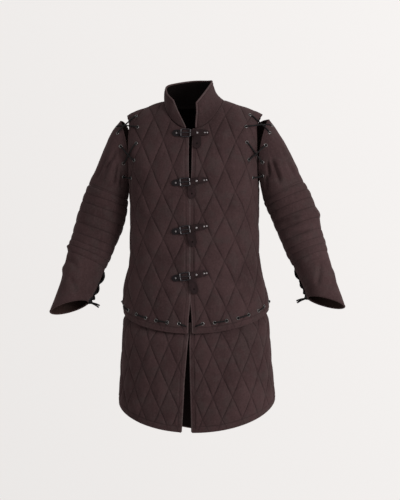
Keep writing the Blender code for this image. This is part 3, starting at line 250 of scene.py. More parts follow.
# ---- finer sizes (m)
CELLS = 18                   # cells of the fine sheets along a diamond's side
ROLL_RADIUS = 0.0026         # the rolled edge of a hem
HEM_BAND = 0.0150            # plain band above a hem, below its row of stitches
FRONT_BAND = 0.0100          # plain band along the front edges
ARMHOLE_BAND = 0.0200        # flat band that holds the eyelets
TIE_RADIUS = 0.0024          # the free ends of the forearms' laces
TIE_LENGTH = 0.0310
TIE_STEPS = 16
TIE_WAYS = {"upper": (0, -0.15, 0.16), "lower": (0, -0.30, -0.12)}
TIE_LIFT = 0.35              # how steeply the ends leave the sleeve,
TIE_DROOP = 0.03             # and how they bend down
KNOT_RADIUS = 0.0046
KNOT_RISE = 0.0050
FOREARM_LACE_RADIUS = LACE_RADIUS * 0.85
EYELET_RADIUS = 0.0055
EYELET_HOLE = 0.0034
EYELET_RISE = 0.0013
CHANNEL_PUFF = 0.0027        # height of the elbow's channels
CHANNEL_PITCH = 0.0255       # what one step of the channels' UV map stands for
SLEEVE_CREASE = 2.1          # how much deeper the sleeves' creases are than their table
SLEEVE_ROW = 0.0055          # the row of stitches beside a seam of the sleeve
SECTION_GAP = 0.0025         # between two stretches of sleeve, in sections
ROLLER = 0.0190              # length of the two bright bars of a buckle
SHEET = 0.001                # a cut sheet before it is padded
MERGE = 0.0003               # vertices of a cut sheet nearer than this become one
SLIVER = 0.0001
LACE_STEPS = 18              # points along a lace between two eyelets
LACE_REST = 1.15             # its middle's height over an eyelet, in its radii
LACE_CROSSING = 2 * LACE_RADIUS                      # how far it rises over another lace
CROSSING_WIDTH = 0.16        # in shares of its length
LACE_SINK = 0.004            # how deep a lace dips into an eyelet,
LACE_MOUTH = 0.0028          # how near its middle,
LACE_FREE = 0.006            # and how far from it the lace rests on the cloth
FLOOR_LEVEL = -1.46
FLOOR_HALF = 1.5
SURROUND = 0.90              # brightness of the pale surround
KEY_PLACE = (2.6, -2.1, 0.2)
KEY_TARGET = (0, 0, -0.45)
KEY_SIZE = 1.1
KEY_POWER = 105.0
CAMERA_TURN = math.radians(5.5)
CAMERA_DISTANCE = 4.5
CAMERA_HEIGHT = -0.438
CAMERA_SHIFT = 0.0165        # of the view's middle towards the wearer's left
VIEW_HALF = 0.75             # half the view's height at the coat

# Soft creases: a line from one place to another, how wide and how deep.  On the body
# places are x and z seen from the front or the back, on a sleeve section and degrees.
Fold = namedtuple("Fold", "start end width depth")
FOLD_TAPER = 3.2             # how soon a crease reaches its depth from its ends


def fold_rows(*rows):
    return [Fold(row[:2], row[2:4], *row[4:]) for row in rows]


BODY_FOLDS = {
    False: fold_rows(
        (-0.168, -0.225, -0.060, -0.345, 0.016, -0.0030),
        (-0.172, -0.262, -0.085, -0.400, 0.014, 0.0022),
        (0.168, -0.215, 0.070, -0.330, 0.017, -0.0030),
        (0.174, -0.258, 0.100, -0.370, 0.013, 0.0020),
        (-0.178, -0.440, -0.080, -0.465, 0.014, -0.0026),
        (-0.176, -0.492, -0.100, -0.505, 0.012, -0.0022),
        (0.176, -0.425, 0.090, -0.458, 0.014, -0.0026),
        (0.178, -0.478, 0.110, -0.500, 0.012, -0.0022),
        (0.120, -0.080, 0.085, -0.250, 0.018, -0.0022),
        (-0.125, -0.085, -0.095, -0.240, 0.018, -0.0022),
        (-0.150, -0.690, -0.165, -0.900, 0.020, -0.0030),
        (-0.075, -0.720, -0.090, -0.930, 0.018, 0.0024),
        (0.090, -0.700, 0.105, -0.930, 0.020, -0.0026),
        (0.165, -0.690, 0.185, -0.880, 0.018, 0.0024),
        (0.120, -0.722, 0.200, -0.716, 0.006, -0.0038),
        (0.135, -0.745, 0.218, -0.736, 0.006, -0.0034),
        (0.110, -0.765, 0.150, -0.772, 0.006, -0.0026),
        (0.150, -0.800, 0.218, -0.792, 0.006, -0.0032),
    ),
    True: fold_rows(
        (-0.165, -0.215, -0.050, -0.320, 0.017, -0.0032),
        (0.160, -0.225, 0.055, -0.340, 0.016, -0.0030),
        (-0.020, -0.100, -0.045, -0.300, 0.020, -0.0022),
        (0.060, -0.110, 0.040, -0.280, 0.018, 0.0020),
        (-0.150, -0.430, -0.030, -0.462, 0.014, -0.0034),
        (0.140, -0.445, 0.010, -0.480, 0.015, -0.0034),
        (-0.120, -0.500, 0.030, -0.520, 0.013, -0.0026),
        (-0.130, -0.700, -0.150, -0.930, 0.022, -0.0032),
        (-0.045, -0.710, -0.040, -0.960, 0.020, 0.0026),
        (0.060, -0.700, 0.070, -0.950, 0.022, -0.0030),
        (0.140, -0.700, 0.160, -0.920, 0.020, 0.0024),
    ),
}
SLEEVE_FOLDS = {
    "right": fold_rows(
        (0.9, 80, 3.0, 68, 0.0065, -0.0034),
        (1.2, 98, 3.4, 112, 0.0060, -0.0036),
        (1.4, 88, 3.6, 84, 0.0080, 0.0020),
        (1.8, 58, 3.8, 50, 0.0075, -0.0028),
        (0.8, 118, 3.0, 136, 0.0060, -0.0034),
        (1.5, 20, 3.7, 14, 0.0120, -0.0026),
        (0.7, 300, 3.2, 310, 0.0110, -0.0036),
        (1.0, 262, 3.5, 252, 0.0100, -0.0034),
        (1.6, 335, 3.7, 345, 0.0110, 0.0024),
        (5.5, 40, 5.7, 120, 0.0070, -0.0018),
        (6.72, -45, 6.78, 60, 0.0080, 0.0028),
        (5.0, 210, 5.1, 300, 0.0080, -0.0030),
        (5.9, 220, 6.1, 310, 0.0080, -0.0030),
        (7.2, 20, 7.5, 95, 0.0080, -0.0028),
        (7.5, 330, 7.7, 40, 0.0090, 0.0026),
        (7.8, 60, 8.5, 120, 0.0100, -0.0024),
        (7.3, 250, 8.2, 300, 0.0100, -0.0030),
    ),
    "left": fold_rows(
        (1.0, 96, 2.3, 112, 0.0070, -0.0046),
        (1.2, 84, 3.7, 90, 0.0062, -0.0032),
        (1.6, 74, 3.6, 76, 0.0090, 0.0020),
        (1.5, 118, 3.2, 136, 0.0062, -0.0034),
        (1.6, 44, 3.8, 36, 0.0110, -0.0026),
        (1.5, 12, 3.7, 4, 0.0120, -0.0024),
        (0.7, 298, 3.2, 306, 0.0110, -0.0036),
        (1.0, 258, 3.5, 250, 0.0100, -0.0034),
        (1.6, 330, 3.7, 342, 0.0110, 0.0024),
        (5.12, 160, 5.38, 62, 0.0042, -0.0034),
        (5.36, 150, 5.60, 50, 0.0042, -0.0032),
        (5.28, 118, 5.50, 66, 0.0060, 0.0016),
        (5.35, -35, 5.50, 45, 0.0110, 0.0026),
        (5.30, 96, 5.52, 20, 0.0090, 0.0022),
        (5.74, 140, 5.92, 50, 0.0042, -0.0026),
        (5.0, 214, 5.2, 300, 0.0080, -0.0032),
        (5.9, 216, 6.1, 306, 0.0080, -0.0030),
        (7.15, 120, 7.20, 40, 0.0042, -0.0026),
        (7.4, 60, 8.4, 112, 0.0090, -0.0024),
        (7.6, 10, 8.6, 44, 0.0100, 0.0020),
        (7.3, 252, 8.2, 300, 0.0100, -0.0030),
    ),
}


# ---- small helpers
def smooth_rows(table, key, at):
    """Rows of a table at any positions, read from a smooth curve through them."""
    rows = np.array(table, float)
    places = rows[:, table[0]._fields.index(key)]
    last = len(rows) - 1
    before = np.maximum(np.arange(last + 1) - 1, 0)
    after = np.minimum(np.arange(last + 1) + 1, last)
    slopes = (rows[after] - rows[before]) / (places[after] - places[before])[:, None]
    at = np.clip(np.asarray(at, float), places[0], places[-1])
    first = np.clip(np.searchsorted(places, at) - 1, 0, last - 1)
    span = (places[first + 1] - places[first])[..., None]
    share = (at - places[first])[..., None] / span
    values = (
        (2 * share**3 - 3 * share**2 + 1) * rows[first]
        + (share**3 - 2 * share**2 + share) * span * slopes[first]
        + (3 * share**2 - 2 * share**3) * rows[first + 1]
        + (share**3 - share**2) * span * slopes[first + 1]
    )
    return type(table[0])(*np.moveaxis(values, -1, 0))


def smoothstep(value):
    value = np.clip(value, 0.0, 1.0)
    return value * value * (3 - 2 * value)


def unit(vectors):
    return vectors / np.linalg.norm(vectors, axis=-1, keepdims=True)


def steps(points, axis=0):
    """The distances from point to point along rows of points."""
    return np.linalg.norm(np.diff(points, axis=axis), axis=-1)


def windowed(values, reach, take):
    """Each value taken together with its neighbours on both sides."""
    padded = np.pad(values, reach, mode="edge")
    return take([padded[i:i + len(values)] for i in range(2 * reach + 1)], axis=0)


def noise_at(points, scale, seed=0.0):
    """Smooth noise, about -1 to 1, at many points."""
    shift = Vector((seed, seed * 1.7, -seed))
    return np.array([noise.noise(Vector(point) * scale + shift) for point in points])


def fold_height(places, folds):
    """Height of the soft creases at flat places, tapering off towards their ends."""
    total = np.zeros(len(places))
    for fold in folds:
        start, along = np.array(fold.start), np.array(fold.end) - np.array(fold.start)
        share = ((places - start) @ along) / (along @ along)
        near = start + np.clip(share, 0, 1)[:, None] * along
        distance = np.linalg.norm(places - near, axis=1)
        taper = smoothstep((0.5 - abs(np.clip(share, 0, 1) - 0.5)) * FOLD_TAPER)
        total += fold.depth * taper * np.exp(-((distance / fold.width) ** 2))
    return total


def uneven(points, *waves):
    """The sum of some smooth noises, each given by its height, fineness and seed."""
    return sum(height * noise_at(points, scale, seed) for height, scale, seed in waves)


def new_mesh(bm, name):
    mesh = bpy.data.meshes.new(name)
    bm.to_mesh(mesh)
    bm.free()
    return mesh


def rebuilt(mesh, name, merge=0.0):
    """A mesh again, its near vertices merged and its normals facing out."""
    bm = bmesh.new()
    bm.from_mesh(mesh)
    if merge:
        bmesh.ops.remove_doubles(bm, verts=bm.verts, dist=merge)
    bmesh.ops.recalc_face_normals(bm, faces=bm.faces)
    return new_mesh(bm, name)


def extruded_verts(bm):
    """Extrudes all faces; the new vertices still have to be moved."""
    made = bmesh.ops.extrude_face_region(bm, geom=bm.faces[:])["geom"]
    return [item for item in made if isinstance(item, bmesh.types.BMVert)]


def double_sheet(columns, rows, tube=False, lined=True):
    """A sheet and its lining from -0.5 to 0.5: mesh, places, and which are the lining's.
    With tube, the walls along the two sides are left out, because they will meet."""
    bm = bmesh.new()
    bmesh.ops.create_grid(bm, x_segments=columns, y_segments=rows, size=0.5)
    inner = set(extruded_verts(bm))
    if tube:
        walls = [face for face in bm.faces
                 if all(abs(abs(vert.co.x) - 0.5) < 1e-6 for vert in face.verts)]
        bmesh.ops.delete(bm, geom=walls, context="FACES_ONLY")
    for face in bm.faces:
        face.material_index = int(lined and all(vert in inner for vert in face.verts))
    flat = np.array([vert.co for vert in bm.verts])
    is_inner = np.array([vert in inner for vert in bm.verts])
    return new_mesh(bm, "sheet"), flat, is_inner


def linked(name, data):
    made = bpy.data.objects.new(name, data)
    bpy.context.scene.collection.objects.link(made)
    return made


def add_piece(name, mesh, slot, *finishes, replaces=(), smooth=38):
    """A finished piece of the scene, riding on the coat."""
    made = linked(name, mesh)
    for finish in finishes:
        mesh.materials.append(finish)
    mesh.shade_smooth()
    mesh.set_sharp_from_angle(angle=math.radians(smooth))
    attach(made, "root")
    if replaces:
        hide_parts(*replaces)
    return made


def evaluated_mesh(made):
    bpy.context.view_layer.update()
    graph = bpy.context.evaluated_depsgraph_get()
    mesh = bpy.data.meshes.new_from_object(made.evaluated_get(graph))
    bpy.data.objects.remove(made)
    return mesh


def intersect(mesh, other):
    """What two closed meshes share."""
    body, tool = linked("body", mesh), linked("tool", other)
    cut = body.modifiers.new("intersect", "BOOLEAN")
    cut.operation = "INTERSECT"
    cut.object = tool
    result = evaluated_mesh(body)
    bpy.data.objects.remove(tool)
    return result


def set_uv(mesh, name, per_vertex):
    """A UV map with one place for each vertex."""
    layer = mesh.uv_layers.new(name=name)
    corners = np.zeros(len(mesh.loops), int)
    mesh.loops.foreach_get("vertex_index", corners)
    layer.uv.foreach_set("vector", per_vertex[corners].astype(np.float32).ravel())


def vertex_places(mesh):
    places = np.zeros(len(mesh.vertices) * 3)
    mesh.vertices.foreach_get("co", places)
    return places.reshape(-1, 3)


def move_vertices(mesh, places):
    mesh.vertices.foreach_set("co", np.asarray(places, np.float32).ravel())
    mesh.update()


# ---- the body form
HALVINGS = 36                # steps that narrow a level down


def ridge_height(x):
    return RIDGE_TOP - RIDGE_SLOPE * (np.hypot(x, RIDGE_SOFT) - RIDGE_SOFT)


def lining_points(level, turn):
    """Points of the lining: turn is 0 at the centre front, a quarter at the wearer's
    left side and a half at the centre back; negative turns lie on the other side."""
    level, turn = np.broadcast_arrays(np.asarray(level, float), np.asarray(turn, float))
    over = level > RIDGE_LEVEL
    turn = np.where(over, np.copysign(np.pi - abs(turn), turn), turn)
    level = np.where(over, 2 * RIDGE_LEVEL - level, level)
    turn = np.mod(turn + np.pi, 2 * np.pi) - np.pi
    side = np.where(turn < 0, -1.0, 1.0)
    turn = abs(turn)
    back = turn > np.pi / 2
    turn = np.where(back, np.pi - turn, turn)
    row = smooth_rows(BODY, "level", level)
    rise = np.maximum(level - CHEST_Z, 0) / CAP_ARC * np.pi / 2
    power = 2 / row.squareness
    x = row.half_width * abs(np.sin(turn)) ** power
    depth = np.where(back, row.back, -row.front) * np.cos(rise)
    y = depth * abs(np.cos(turn)) ** power
    cap = CHEST_Z + (ridge_height(x) - CHEST_Z) * np.sin(rise)
    return np.stack([side * x + row.swing, y, np.where(level > CHEST_Z, cap, level)], axis=-1)


def lining_normals(level, turn):
    small_turn, small_level = 0.012, 0.0015
    across = lining_points(level, turn + small_turn) - lining_points(level, turn - small_turn)
    upward = lining_points(level + small_level, turn) - lining_points(level - small_level, turn)
    return unit(np.cross(across, upward))


def lining_at(level, turn):
    return lining_points(level, turn), lining_normals(level, turn)


def section_turn(level, back, across=None, reach=None):
    """The turn at which a section is this far across, or reaches this far out."""
    row = smooth_rows(BODY, "level", level)
    if across is not None:
        share = np.minimum(1.0, across / row.half_width)
        turn = np.arcsin(share ** (row.squareness / 2))
    else:
        rise = np.maximum(level - CHEST_Z, 0) / CAP_ARC * np.pi / 2
        depth = np.maximum((row.back if back else row.front) * np.cos(rise), 1e-9)
        turn = np.arccos(np.minimum(1.0, reach / depth) ** (row.squareness / 2))
    return np.pi - turn if back else turn


def place_where(test, like, back, low=BODY[0].level, **given):
    """Levels at which a test of the form's points, rising with the level, passes zero, and
    the turns there; given says how far across or out the points lie at each level."""
    low, high = np.full(np.shape(like), low), np.full(np.shape(like), RIDGE_LEVEL)
    for _ in range(HALVINGS):
        middle = (low + high) / 2
        below = test(lining_points(middle, section_turn(middle, back, **given))) < 0
        low, high = np.where(below, middle, low), np.where(below, high, middle)
    level = (low + high) / 2
    return level, section_turn(level, back, **given)


def place_from_side(reach, height, back):
    """Level and turn of places given by their reach and height, as seen from the side."""
    return place_where(lambda points: points[..., 2] - height, height, back, reach=reach)


def place_from_front(across, height, back=False):
    """Level and turn of places given by their distance across and height."""
    across, height = np.asarray(across, float), np.asarray(height, float)
    level, turn = place_where(lambda points: points[..., 2] - height, height, back,
                              across=abs(across))
    return level, np.copysign(turn, across)


def place_from_above(across, reach, back):
    """Level and turn of places on the shoulders given by their place in plan."""
    return place_where(lambda points: reach - abs(points[..., 1]), reach, back, CHEST_Z,
                       across=across)


def hem_level(turn, side_height, dip_front, dip_back):
    """Level of a hem that dips towards the centre front and the centre back."""
    turn = np.asarray(turn, float)
    level = np.full(np.shape(turn), side_height)
    behind = abs(turn) > np.pi / 2
    for _ in range(4):
        power = 2 / smooth_rows(BODY, "level", level).squareness
        toward_centre = np.sqrt(np.maximum(0.0, 1 - abs(np.sin(turn)) ** (2 * power)))
        level = side_height - np.where(behind, dip_back * toward_centre**HEM_CURVE_BACK,
                                       dip_front * toward_centre**HEM_CURVE)
    return level


def torso_hem(turn):
    return hem_level(turn, TORSO_HEM_SIDE, TORSO_HEM_DIP, TORSO_HEM_DIP_BACK)


def skirt_hem(turn):
    return hem_level(turn, SKIRT_HEM_SIDE, SKIRT_HEM_DIP, SKIRT_HEM_DIP_BACK)


class Draft:
    """Flat coordinates of half the front or half the back, on the wearer's left: u is
    the distance from the centre line, v the distance up a line halfway to the side."""

    TURNS = 60
    LEVEL_STEP = 0.0075
    MIDDLE_TURN = math.radians(50)

    def __init__(self, back, origin):
        self.back = back
        count = round((RIDGE_LEVEL - BODY[0].level) / self.LEVEL_STEP)
        self.levels = np.linspace(BODY[0].level, RIDGE_LEVEL, count + 1)
        self.turns = np.linspace(0, np.pi / 2, self.TURNS + 1)
        grid = lining_points(self.levels[:, None], self.full_turn(self.turns)[None, :])
        self.arcs = np.pad(np.cumsum(steps(grid, 1), axis=1), ((0, 0), (1, 0)))
        line = lining_points(self.levels, self.full_turn(self.MIDDLE_TURN))
        heights = np.pad(np.cumsum(steps(line)), (1, 0))
        self.heights = heights - np.interp(origin, self.levels, heights)

    def full_turn(self, turn):
        return np.pi - turn if self.back else turn

    def arcs_at(self, level):
        position = np.interp(level, self.levels, np.arange(len(self.levels)))
        lower = np.minimum(position.astype(int), len(self.levels) - 2)
        share = (position - lower)[..., None]
        return self.arcs[lower] * (1 - share) + self.arcs[lower + 1] * share

    @staticmethod
    def ends_of(arcs, lower):
        """The two arcs between which a place lies."""
        return (np.take_along_axis(arcs, lower + i, axis=-1)[..., 0] for i in (0, 1))

    def flat(self, level, turn):
        """Flat places of points of the body, as rows of u and v."""
        level, turn = np.broadcast_arrays(np.asarray(level, float), np.asarray(turn, float))
        turn = self.full_turn(abs(turn)) if self.back else abs(turn)
        arcs = self.arcs_at(level)
        position = np.clip(turn / self.turns[-1] * self.TURNS, 0, self.TURNS)
        lower = np.minimum(position.astype(int), self.TURNS - 1)[..., None]
        low, high = self.ends_of(arcs, lower)
        u = low + (high - low) * (position - lower[..., 0])
        return np.stack([u, np.interp(level, self.levels, self.heights)], axis=-1)

    def place(self, u, v):
        """Level and turn of flat places; u below zero lies on the wearer's right."""
        level = np.interp(v, self.heights, self.levels)
        arcs = self.arcs_at(level)
        passed = (arcs <= abs(u)[..., None]).sum(axis=-1)
        lower = np.clip(passed - 1, 0, self.TURNS - 1)[..., None]
        low, high = self.ends_of(arcs, lower)
        share = np.clip((abs(u) - low) / (high - low), 0, 1)
        turn = (lower[..., 0] + share) / self.TURNS * self.turns[-1]
        return level, np.copysign(self.full_turn(turn), np.where(u == 0, 1.0, u))


# ---- panel outlines
Outline = namedtuple("Outline", "edge trims")
Trim = namedtuple("Trim", "line band sewn")          # an open edge, its flat band, its stitches


def below_ridge(places, draft):
    places = np.array(places)
    places[:, 1] = np.minimum(places[:, 1], draft.heights[-1] - SEAM_GAP / 2)
    return places


def side_seam(draft, low, high):
    places = draft.flat(np.linspace(low, high, 16), draft.full_turn(np.pi / 2))
    places[:, 0] -= SEAM_GAP / 2
    return places


def front_edge(draft, table, column, low, high):
    """A front edge from one level down to another, as flat places."""
    heights = np.linspace(high, low, 50)
    gap = np.interp(heights, [row.height for row in table],
                    [getattr(row, column) for row in table])
    return np.stack([gap, draft.flat(heights, 0.0)[:, 1]], axis=-1)


def armhole_edge(draft):
    """The armhole's edge from the side seam up to the shoulder tip."""
    curve = smooth_rows(ARMHOLE, "number", np.linspace(6, 0, 40))
    level, turn = place_from_side(curve.reach, curve.height, draft.back)
    tip = section_turn(np.array(RIDGE_LEVEL), draft.back, across=SHOULDER_TIP)
    return draft.flat(np.r_[CHEST_Z, level, RIDGE_LEVEL],
                      np.r_[draft.full_turn(np.pi / 2), turn, tip])


def neck_places(angle, back):
    """Level and turn of the neckline; angle is 0 on the centre line."""
    power = 2 / NECK_SQUARENESS
    across = NECK_HALF_WIDTH * abs(np.sin(angle)) ** power
    reach = (NECK_BACK if back else NECK_FRONT) * abs(np.cos(angle)) ** power
    return place_from_above(across, reach, back)


def beyond(corner, line):
    """The part of a hem or a neckline that lies outside the front edge's corner."""
    return line[line[:, 0] > corner[0]]


def mirrored(half):
    """A whole back panel from the half that starts and ends on the centre line."""
    return np.concatenate([half, half[1:-1][::-1] * (-1, 1)])


def across_back(half):
    """A hem from side to side, from its half on the wearer's left."""
    return np.concatenate([half[::-1] * (-1, 1), half[1:]])


def torso_outline(draft, column=None):
    """A torso panel; column names the front edge's side and is None on the back."""
    side = np.pi / 2
    turns = np.linspace(draft.full_turn(0.0), side, 60)
    hem = draft.flat(torso_hem(turns), turns)
    seam = side_seam(draft, torso_hem(side), CHEST_Z)
    armhole = armhole_edge(draft)
    neck = draft.flat(*neck_places(np.linspace(side, 0, 40), draft.back))
    eyelet_band = Trim(armhole, ARMHOLE_BAND, False)
    if column is None:
        whole = mirrored(np.concatenate([hem, seam[1:], armhole[1:], neck]))
        trims = (Trim(across_back(hem), HEM_BAND, True), eyelet_band,
                 Trim(armhole * (-1, 1), ARMHOLE_BAND, False))
        return Outline(below_ridge(whole, draft), trims)
    edge = front_edge(draft, TORSO_FRONT_EDGE, column, torso_hem(0.0),
                      float(neck_places(0.0, False)[0]))
    hem, neck = beyond(edge[-1], hem), beyond(edge[0], neck)
    whole = np.concatenate([hem, seam[1:], armhole[1:], neck[:-1], edge])
    trims = (Trim(edge, FRONT_BAND, True),
             Trim(np.concatenate([edge[-1:], hem]), HEM_BAND, True), eyelet_band)
    return Outline(below_ridge(whole, draft), trims)


def skirt_outline(draft, column=None):
    """A skirt panel; column names the front edge's side and is None on the back."""
    side = draft.full_turn(np.pi / 2)
    turns = np.linspace(draft.full_turn(0.0), side, 60)
    hem = draft.flat(skirt_hem(turns), turns)
    seam = side_seam(draft, skirt_hem(side), torso_hem(side) + SKIRT_TUCK)
    top = draft.flat(torso_hem(turns) + SKIRT_TUCK, turns)[::-1]
    if column is None:
        whole = mirrored(np.concatenate([hem, seam[1:], top[1:]]))
        return Outline(whole, (Trim(across_back(hem), HEM_BAND, True),))
    edge = front_edge(draft, SKIRT_FRONT_EDGE, column, float(skirt_hem(0.0)),
                      float(torso_hem(0.0)) + SKIRT_TUCK)
    hem, top = beyond(edge[-1], hem), beyond(edge[0], top)
    return Outline(np.concatenate([hem, seam[1:], top[1:], edge]),
                   (Trim(edge, FRONT_BAND, True),
                    Trim(np.concatenate([edge[-1:], hem]), HEM_BAND, True)))


def skirt_inset(draft, u, v):
    """The skirt is drawn in where the torso's lower edge lies over it."""
    level, turn = draft.place(u, v)
    share = smoothstep((torso_hem(turn) - level) / SKIRT_STEP_REACH)
    return -(SKIRT_QUILT.puff + SKIRT_STEP) * (1 - share)


def line_distance(places, line, closed=False):
    """Distance of flat places from a line, and how far along it the nearest place is."""
    ends = np.concatenate([line, line[:1]]) if closed else line
    best, where = np.full(len(places), 9.0), np.zeros(len(places))
    done = 0.0
    for first, second in zip(ends, ends[1:]):
        along = second - first
        length = float(np.hypot(*along))
        if length < 1e-9:
            continue
        share = np.clip(((places - first) @ along) / length**2, 0, 1)
        distance = np.hypot(*(places - first - share[:, None] * along).T)
        nearer = distance < best
        best = np.where(nearer, distance, best)
        where = np.where(nearer, done + share * length, where)
        done += length
    return best, where


def inside(places, outline):
    """Which flat places lie inside a closed outline."""
    crossings = np.zeros(len(places), int)
    for (u0, v0), (u1, v1) in zip(outline, np.roll(outline, -1, axis=0)):
        if v0 == v1:
            continue
        spans = (places[:, 1] > min(v0, v1)) & (places[:, 1] <= max(v0, v1))
        at = u0 + (places[:, 1] - v0) / (v1 - v0) * (u1 - u0)
        crossings += spans & (places[:, 0] < at)
    return crossings % 2 == 1


# ---- quilted panels
PRISM_HALF = 0.03            # half the height of the prism that cuts a panel
RIDGE_FADE = 0.070           # the padding thins out over this distance below the ridge
BAND_FADE = 0.004            # and over this one towards a plain band
ROW_DEPTH, ROW_WIDTH = 0.0013, 0.0018                # the groove of a row of stitches
SWELL_POWER = 0.46           # the smaller, the steeper a diamond rises from its stitches
WANDER = (0.0050, 0.0060)    # how far the quilting strays, across and up
WANDER_FADE = 0.035          # how far from a panel's edge it strays in full
INSET_CREASE = 0.6           # the skirt's creases are this much of the torso's
PLUMPNESS, PLUMP_SPREAD = 0.86, 0.14                 # of the diamonds, and how it differs
RIDGE_PLUMPNESS = 0.45


def diamonds(places, quilt, shift):
    """Flat places counted in diamonds along the rising and the falling stitch lines."""
    across, up = ((places - shift) / (quilt.width, quilt.height)).T
    return np.stack([across + up, across - up], axis=-1)


def prism(outline):
    """A prism over a flat outline, taller than the cut sheet."""
    bm = bmesh.new()
    bm.faces.new([bm.verts.new((u, v, -PRISM_HALF)) for u, v in outline])
    bmesh.ops.translate(bm, vec=(0, 0, 2 * PRISM_HALF), verts=extruded_verts(bm))
    bmesh.ops.recalc_face_normals(bm, faces=bm.faces)
    return new_mesh(bm, "outline")


def cut_sheet(quilt, outline, shift):
    """A flat sheet of small cells along the stitch lines, cut to an outline."""
    counted = diamonds(outline, quilt, shift) * CELLS
    low, high = np.floor(counted.min(axis=0)) - 1, np.ceil(counted.max(axis=0)) + 1
    columns, rows = (high - low).astype(int)
    middle, half = (low + high) / 2 / CELLS, (high - low) / 2 / CELLS
    to_flat = Matrix(((quilt.width / 2, quilt.width / 2, 0, shift[0]),
                      (quilt.height / 2, -quilt.height / 2, 0, shift[1]),
                      (0, 0, 1, 0), (0, 0, 0, 1)))
    spread = Matrix.Translation((*middle, SHEET)) @ Matrix.Diagonal((*half, 1, 1))
    bm = bmesh.new()
    bmesh.ops.create_grid(bm, x_segments=int(columns), y_segments=int(rows), size=1,
                          matrix=to_flat @ spread)
    centres = np.array([face.calc_center_median().xy for face in bm.faces])
    margin = quilt.height / CELLS
    keep = inside(centres, outline) | (line_distance(centres, outline, True)[0] < margin)
    spare = [face for face, kept in zip(bm.faces, keep) if not kept]
    bmesh.ops.delete(bm, geom=spare, context="FACES")
    bmesh.ops.translate(bm, vec=(0, 0, -SHEET), verts=extruded_verts(bm))
    bmesh.ops.recalc_face_normals(bm, faces=bm.faces)
    cut = intersect(new_mesh(bm, "sheet"), prism(outline))
    bm = bmesh.new()
    bm.from_mesh(cut)
    bmesh.ops.remove_doubles(bm, verts=bm.verts, dist=MERGE)
    bmesh.ops.dissolve_degenerate(bm, edges=bm.edges, dist=SLIVER)
    bmesh.ops.triangulate(bm, faces=[face for face in bm.faces if len(face.verts) > 4])
    return new_mesh(bm, "cut")


def padding(counted, places, points, quilt, outline, ridge):
    """Height of the padded wall over its lining, uneven from diamond to diamond."""
    swell = abs(np.sin(np.pi * counted[:, 0]) * np.sin(np.pi * counted[:, 1])) ** SWELL_POWER
    cell = np.floor(counted)
    plump = PLUMPNESS + PLUMP_SPREAD * np.sin(cell[:, 0] * 12.9898 + cell[:, 1] * 78.233)
    below = smoothstep((ridge - places[:, 1]) / RIDGE_FADE)
    plump = plump * (RIDGE_PLUMPNESS + (1 - RIDGE_PLUMPNESS) * below)
    pucker = uneven(points, (0.0007, 75.0, 0.0), (0.0003, 170.0, 3.1))
    height = quilt.stitch + (quilt.puff - quilt.stitch) * swell * plump
    height = height + pucker * 4 * swell * (1 - swell)
    for trim in outline.trims:
        distance = line_distance(places, trim.line)[0]
        beside = distance - trim.band
        height = height + (BAND_WALL - height) * (1 - smoothstep(beside / BAND_FADE))
        if trim.sewn:
            height = height - ROW_DEPTH * np.exp(-((beside / ROW_WIDTH) ** 2))
    rim = line_distance(places, outline.edge, True)[0]
    return EDGE_WALL + (height - EDGE_WALL) * smoothstep(rim / EDGE_TAPER)


def sewn_rows(places, outline):
    """How far places lie from the nearest row of stitches at an edge, and how far along."""
    best, where = np.full(len(places), 9.0), np.zeros(len(places))
    for trim in outline.trims:
        if trim.sewn:
            distance, along = line_distance(places, trim.line)
            nearer = abs(distance - trim.band) < abs(best)
            best = np.where(nearer, distance - trim.band, best)
            where = np.where(nearer, along, where)
    return np.stack([best, where], axis=-1)


def wandering(places, outline):
    """Hand-sewn lines wander a little, but not at the panel's edges."""
    rim = smoothstep(line_distance(places, outline.edge, True)[0] / WANDER_FADE)
    flat = np.pad(places, ((0, 0), (0, 1)))
    stray = [far * noise_at(flat, 7.0, seed) for far, seed in zip(WANDER, (11.0, 17.0))]
    return places + rim[:, None] * np.stack(stray, axis=-1)


def drape(points, back):
    """How far the whole cloth moves out or in: its soft creases and unevenness."""
    return (fold_height(points[:, (0, 2)], BODY_FOLDS[back])
            + uneven(points, (0.0011, 11.0, 5.0), (0.0006, 30.0, 9.0)))


class Panel:
    """One quilted panel's place on the body."""

    def __init__(self, draft, side=1, inset=None, shift=(0.0, 0.0)):
        self.draft = draft
        self.side = side
        self.inset = inset
        self.shift = shift

    def lay(self, places, height):
        """Points at a height over the lining, with the cloth's creases."""
        u, v = places.T
        points, normals = lining_at(*self.draft.place(self.side * u, v))
        shift = drape(points, self.draft.back)
        if self.inset:
            shift = shift * INSET_CREASE + self.inset(self.draft, u, v)
        return points + (height + shift)[:, None] * normals


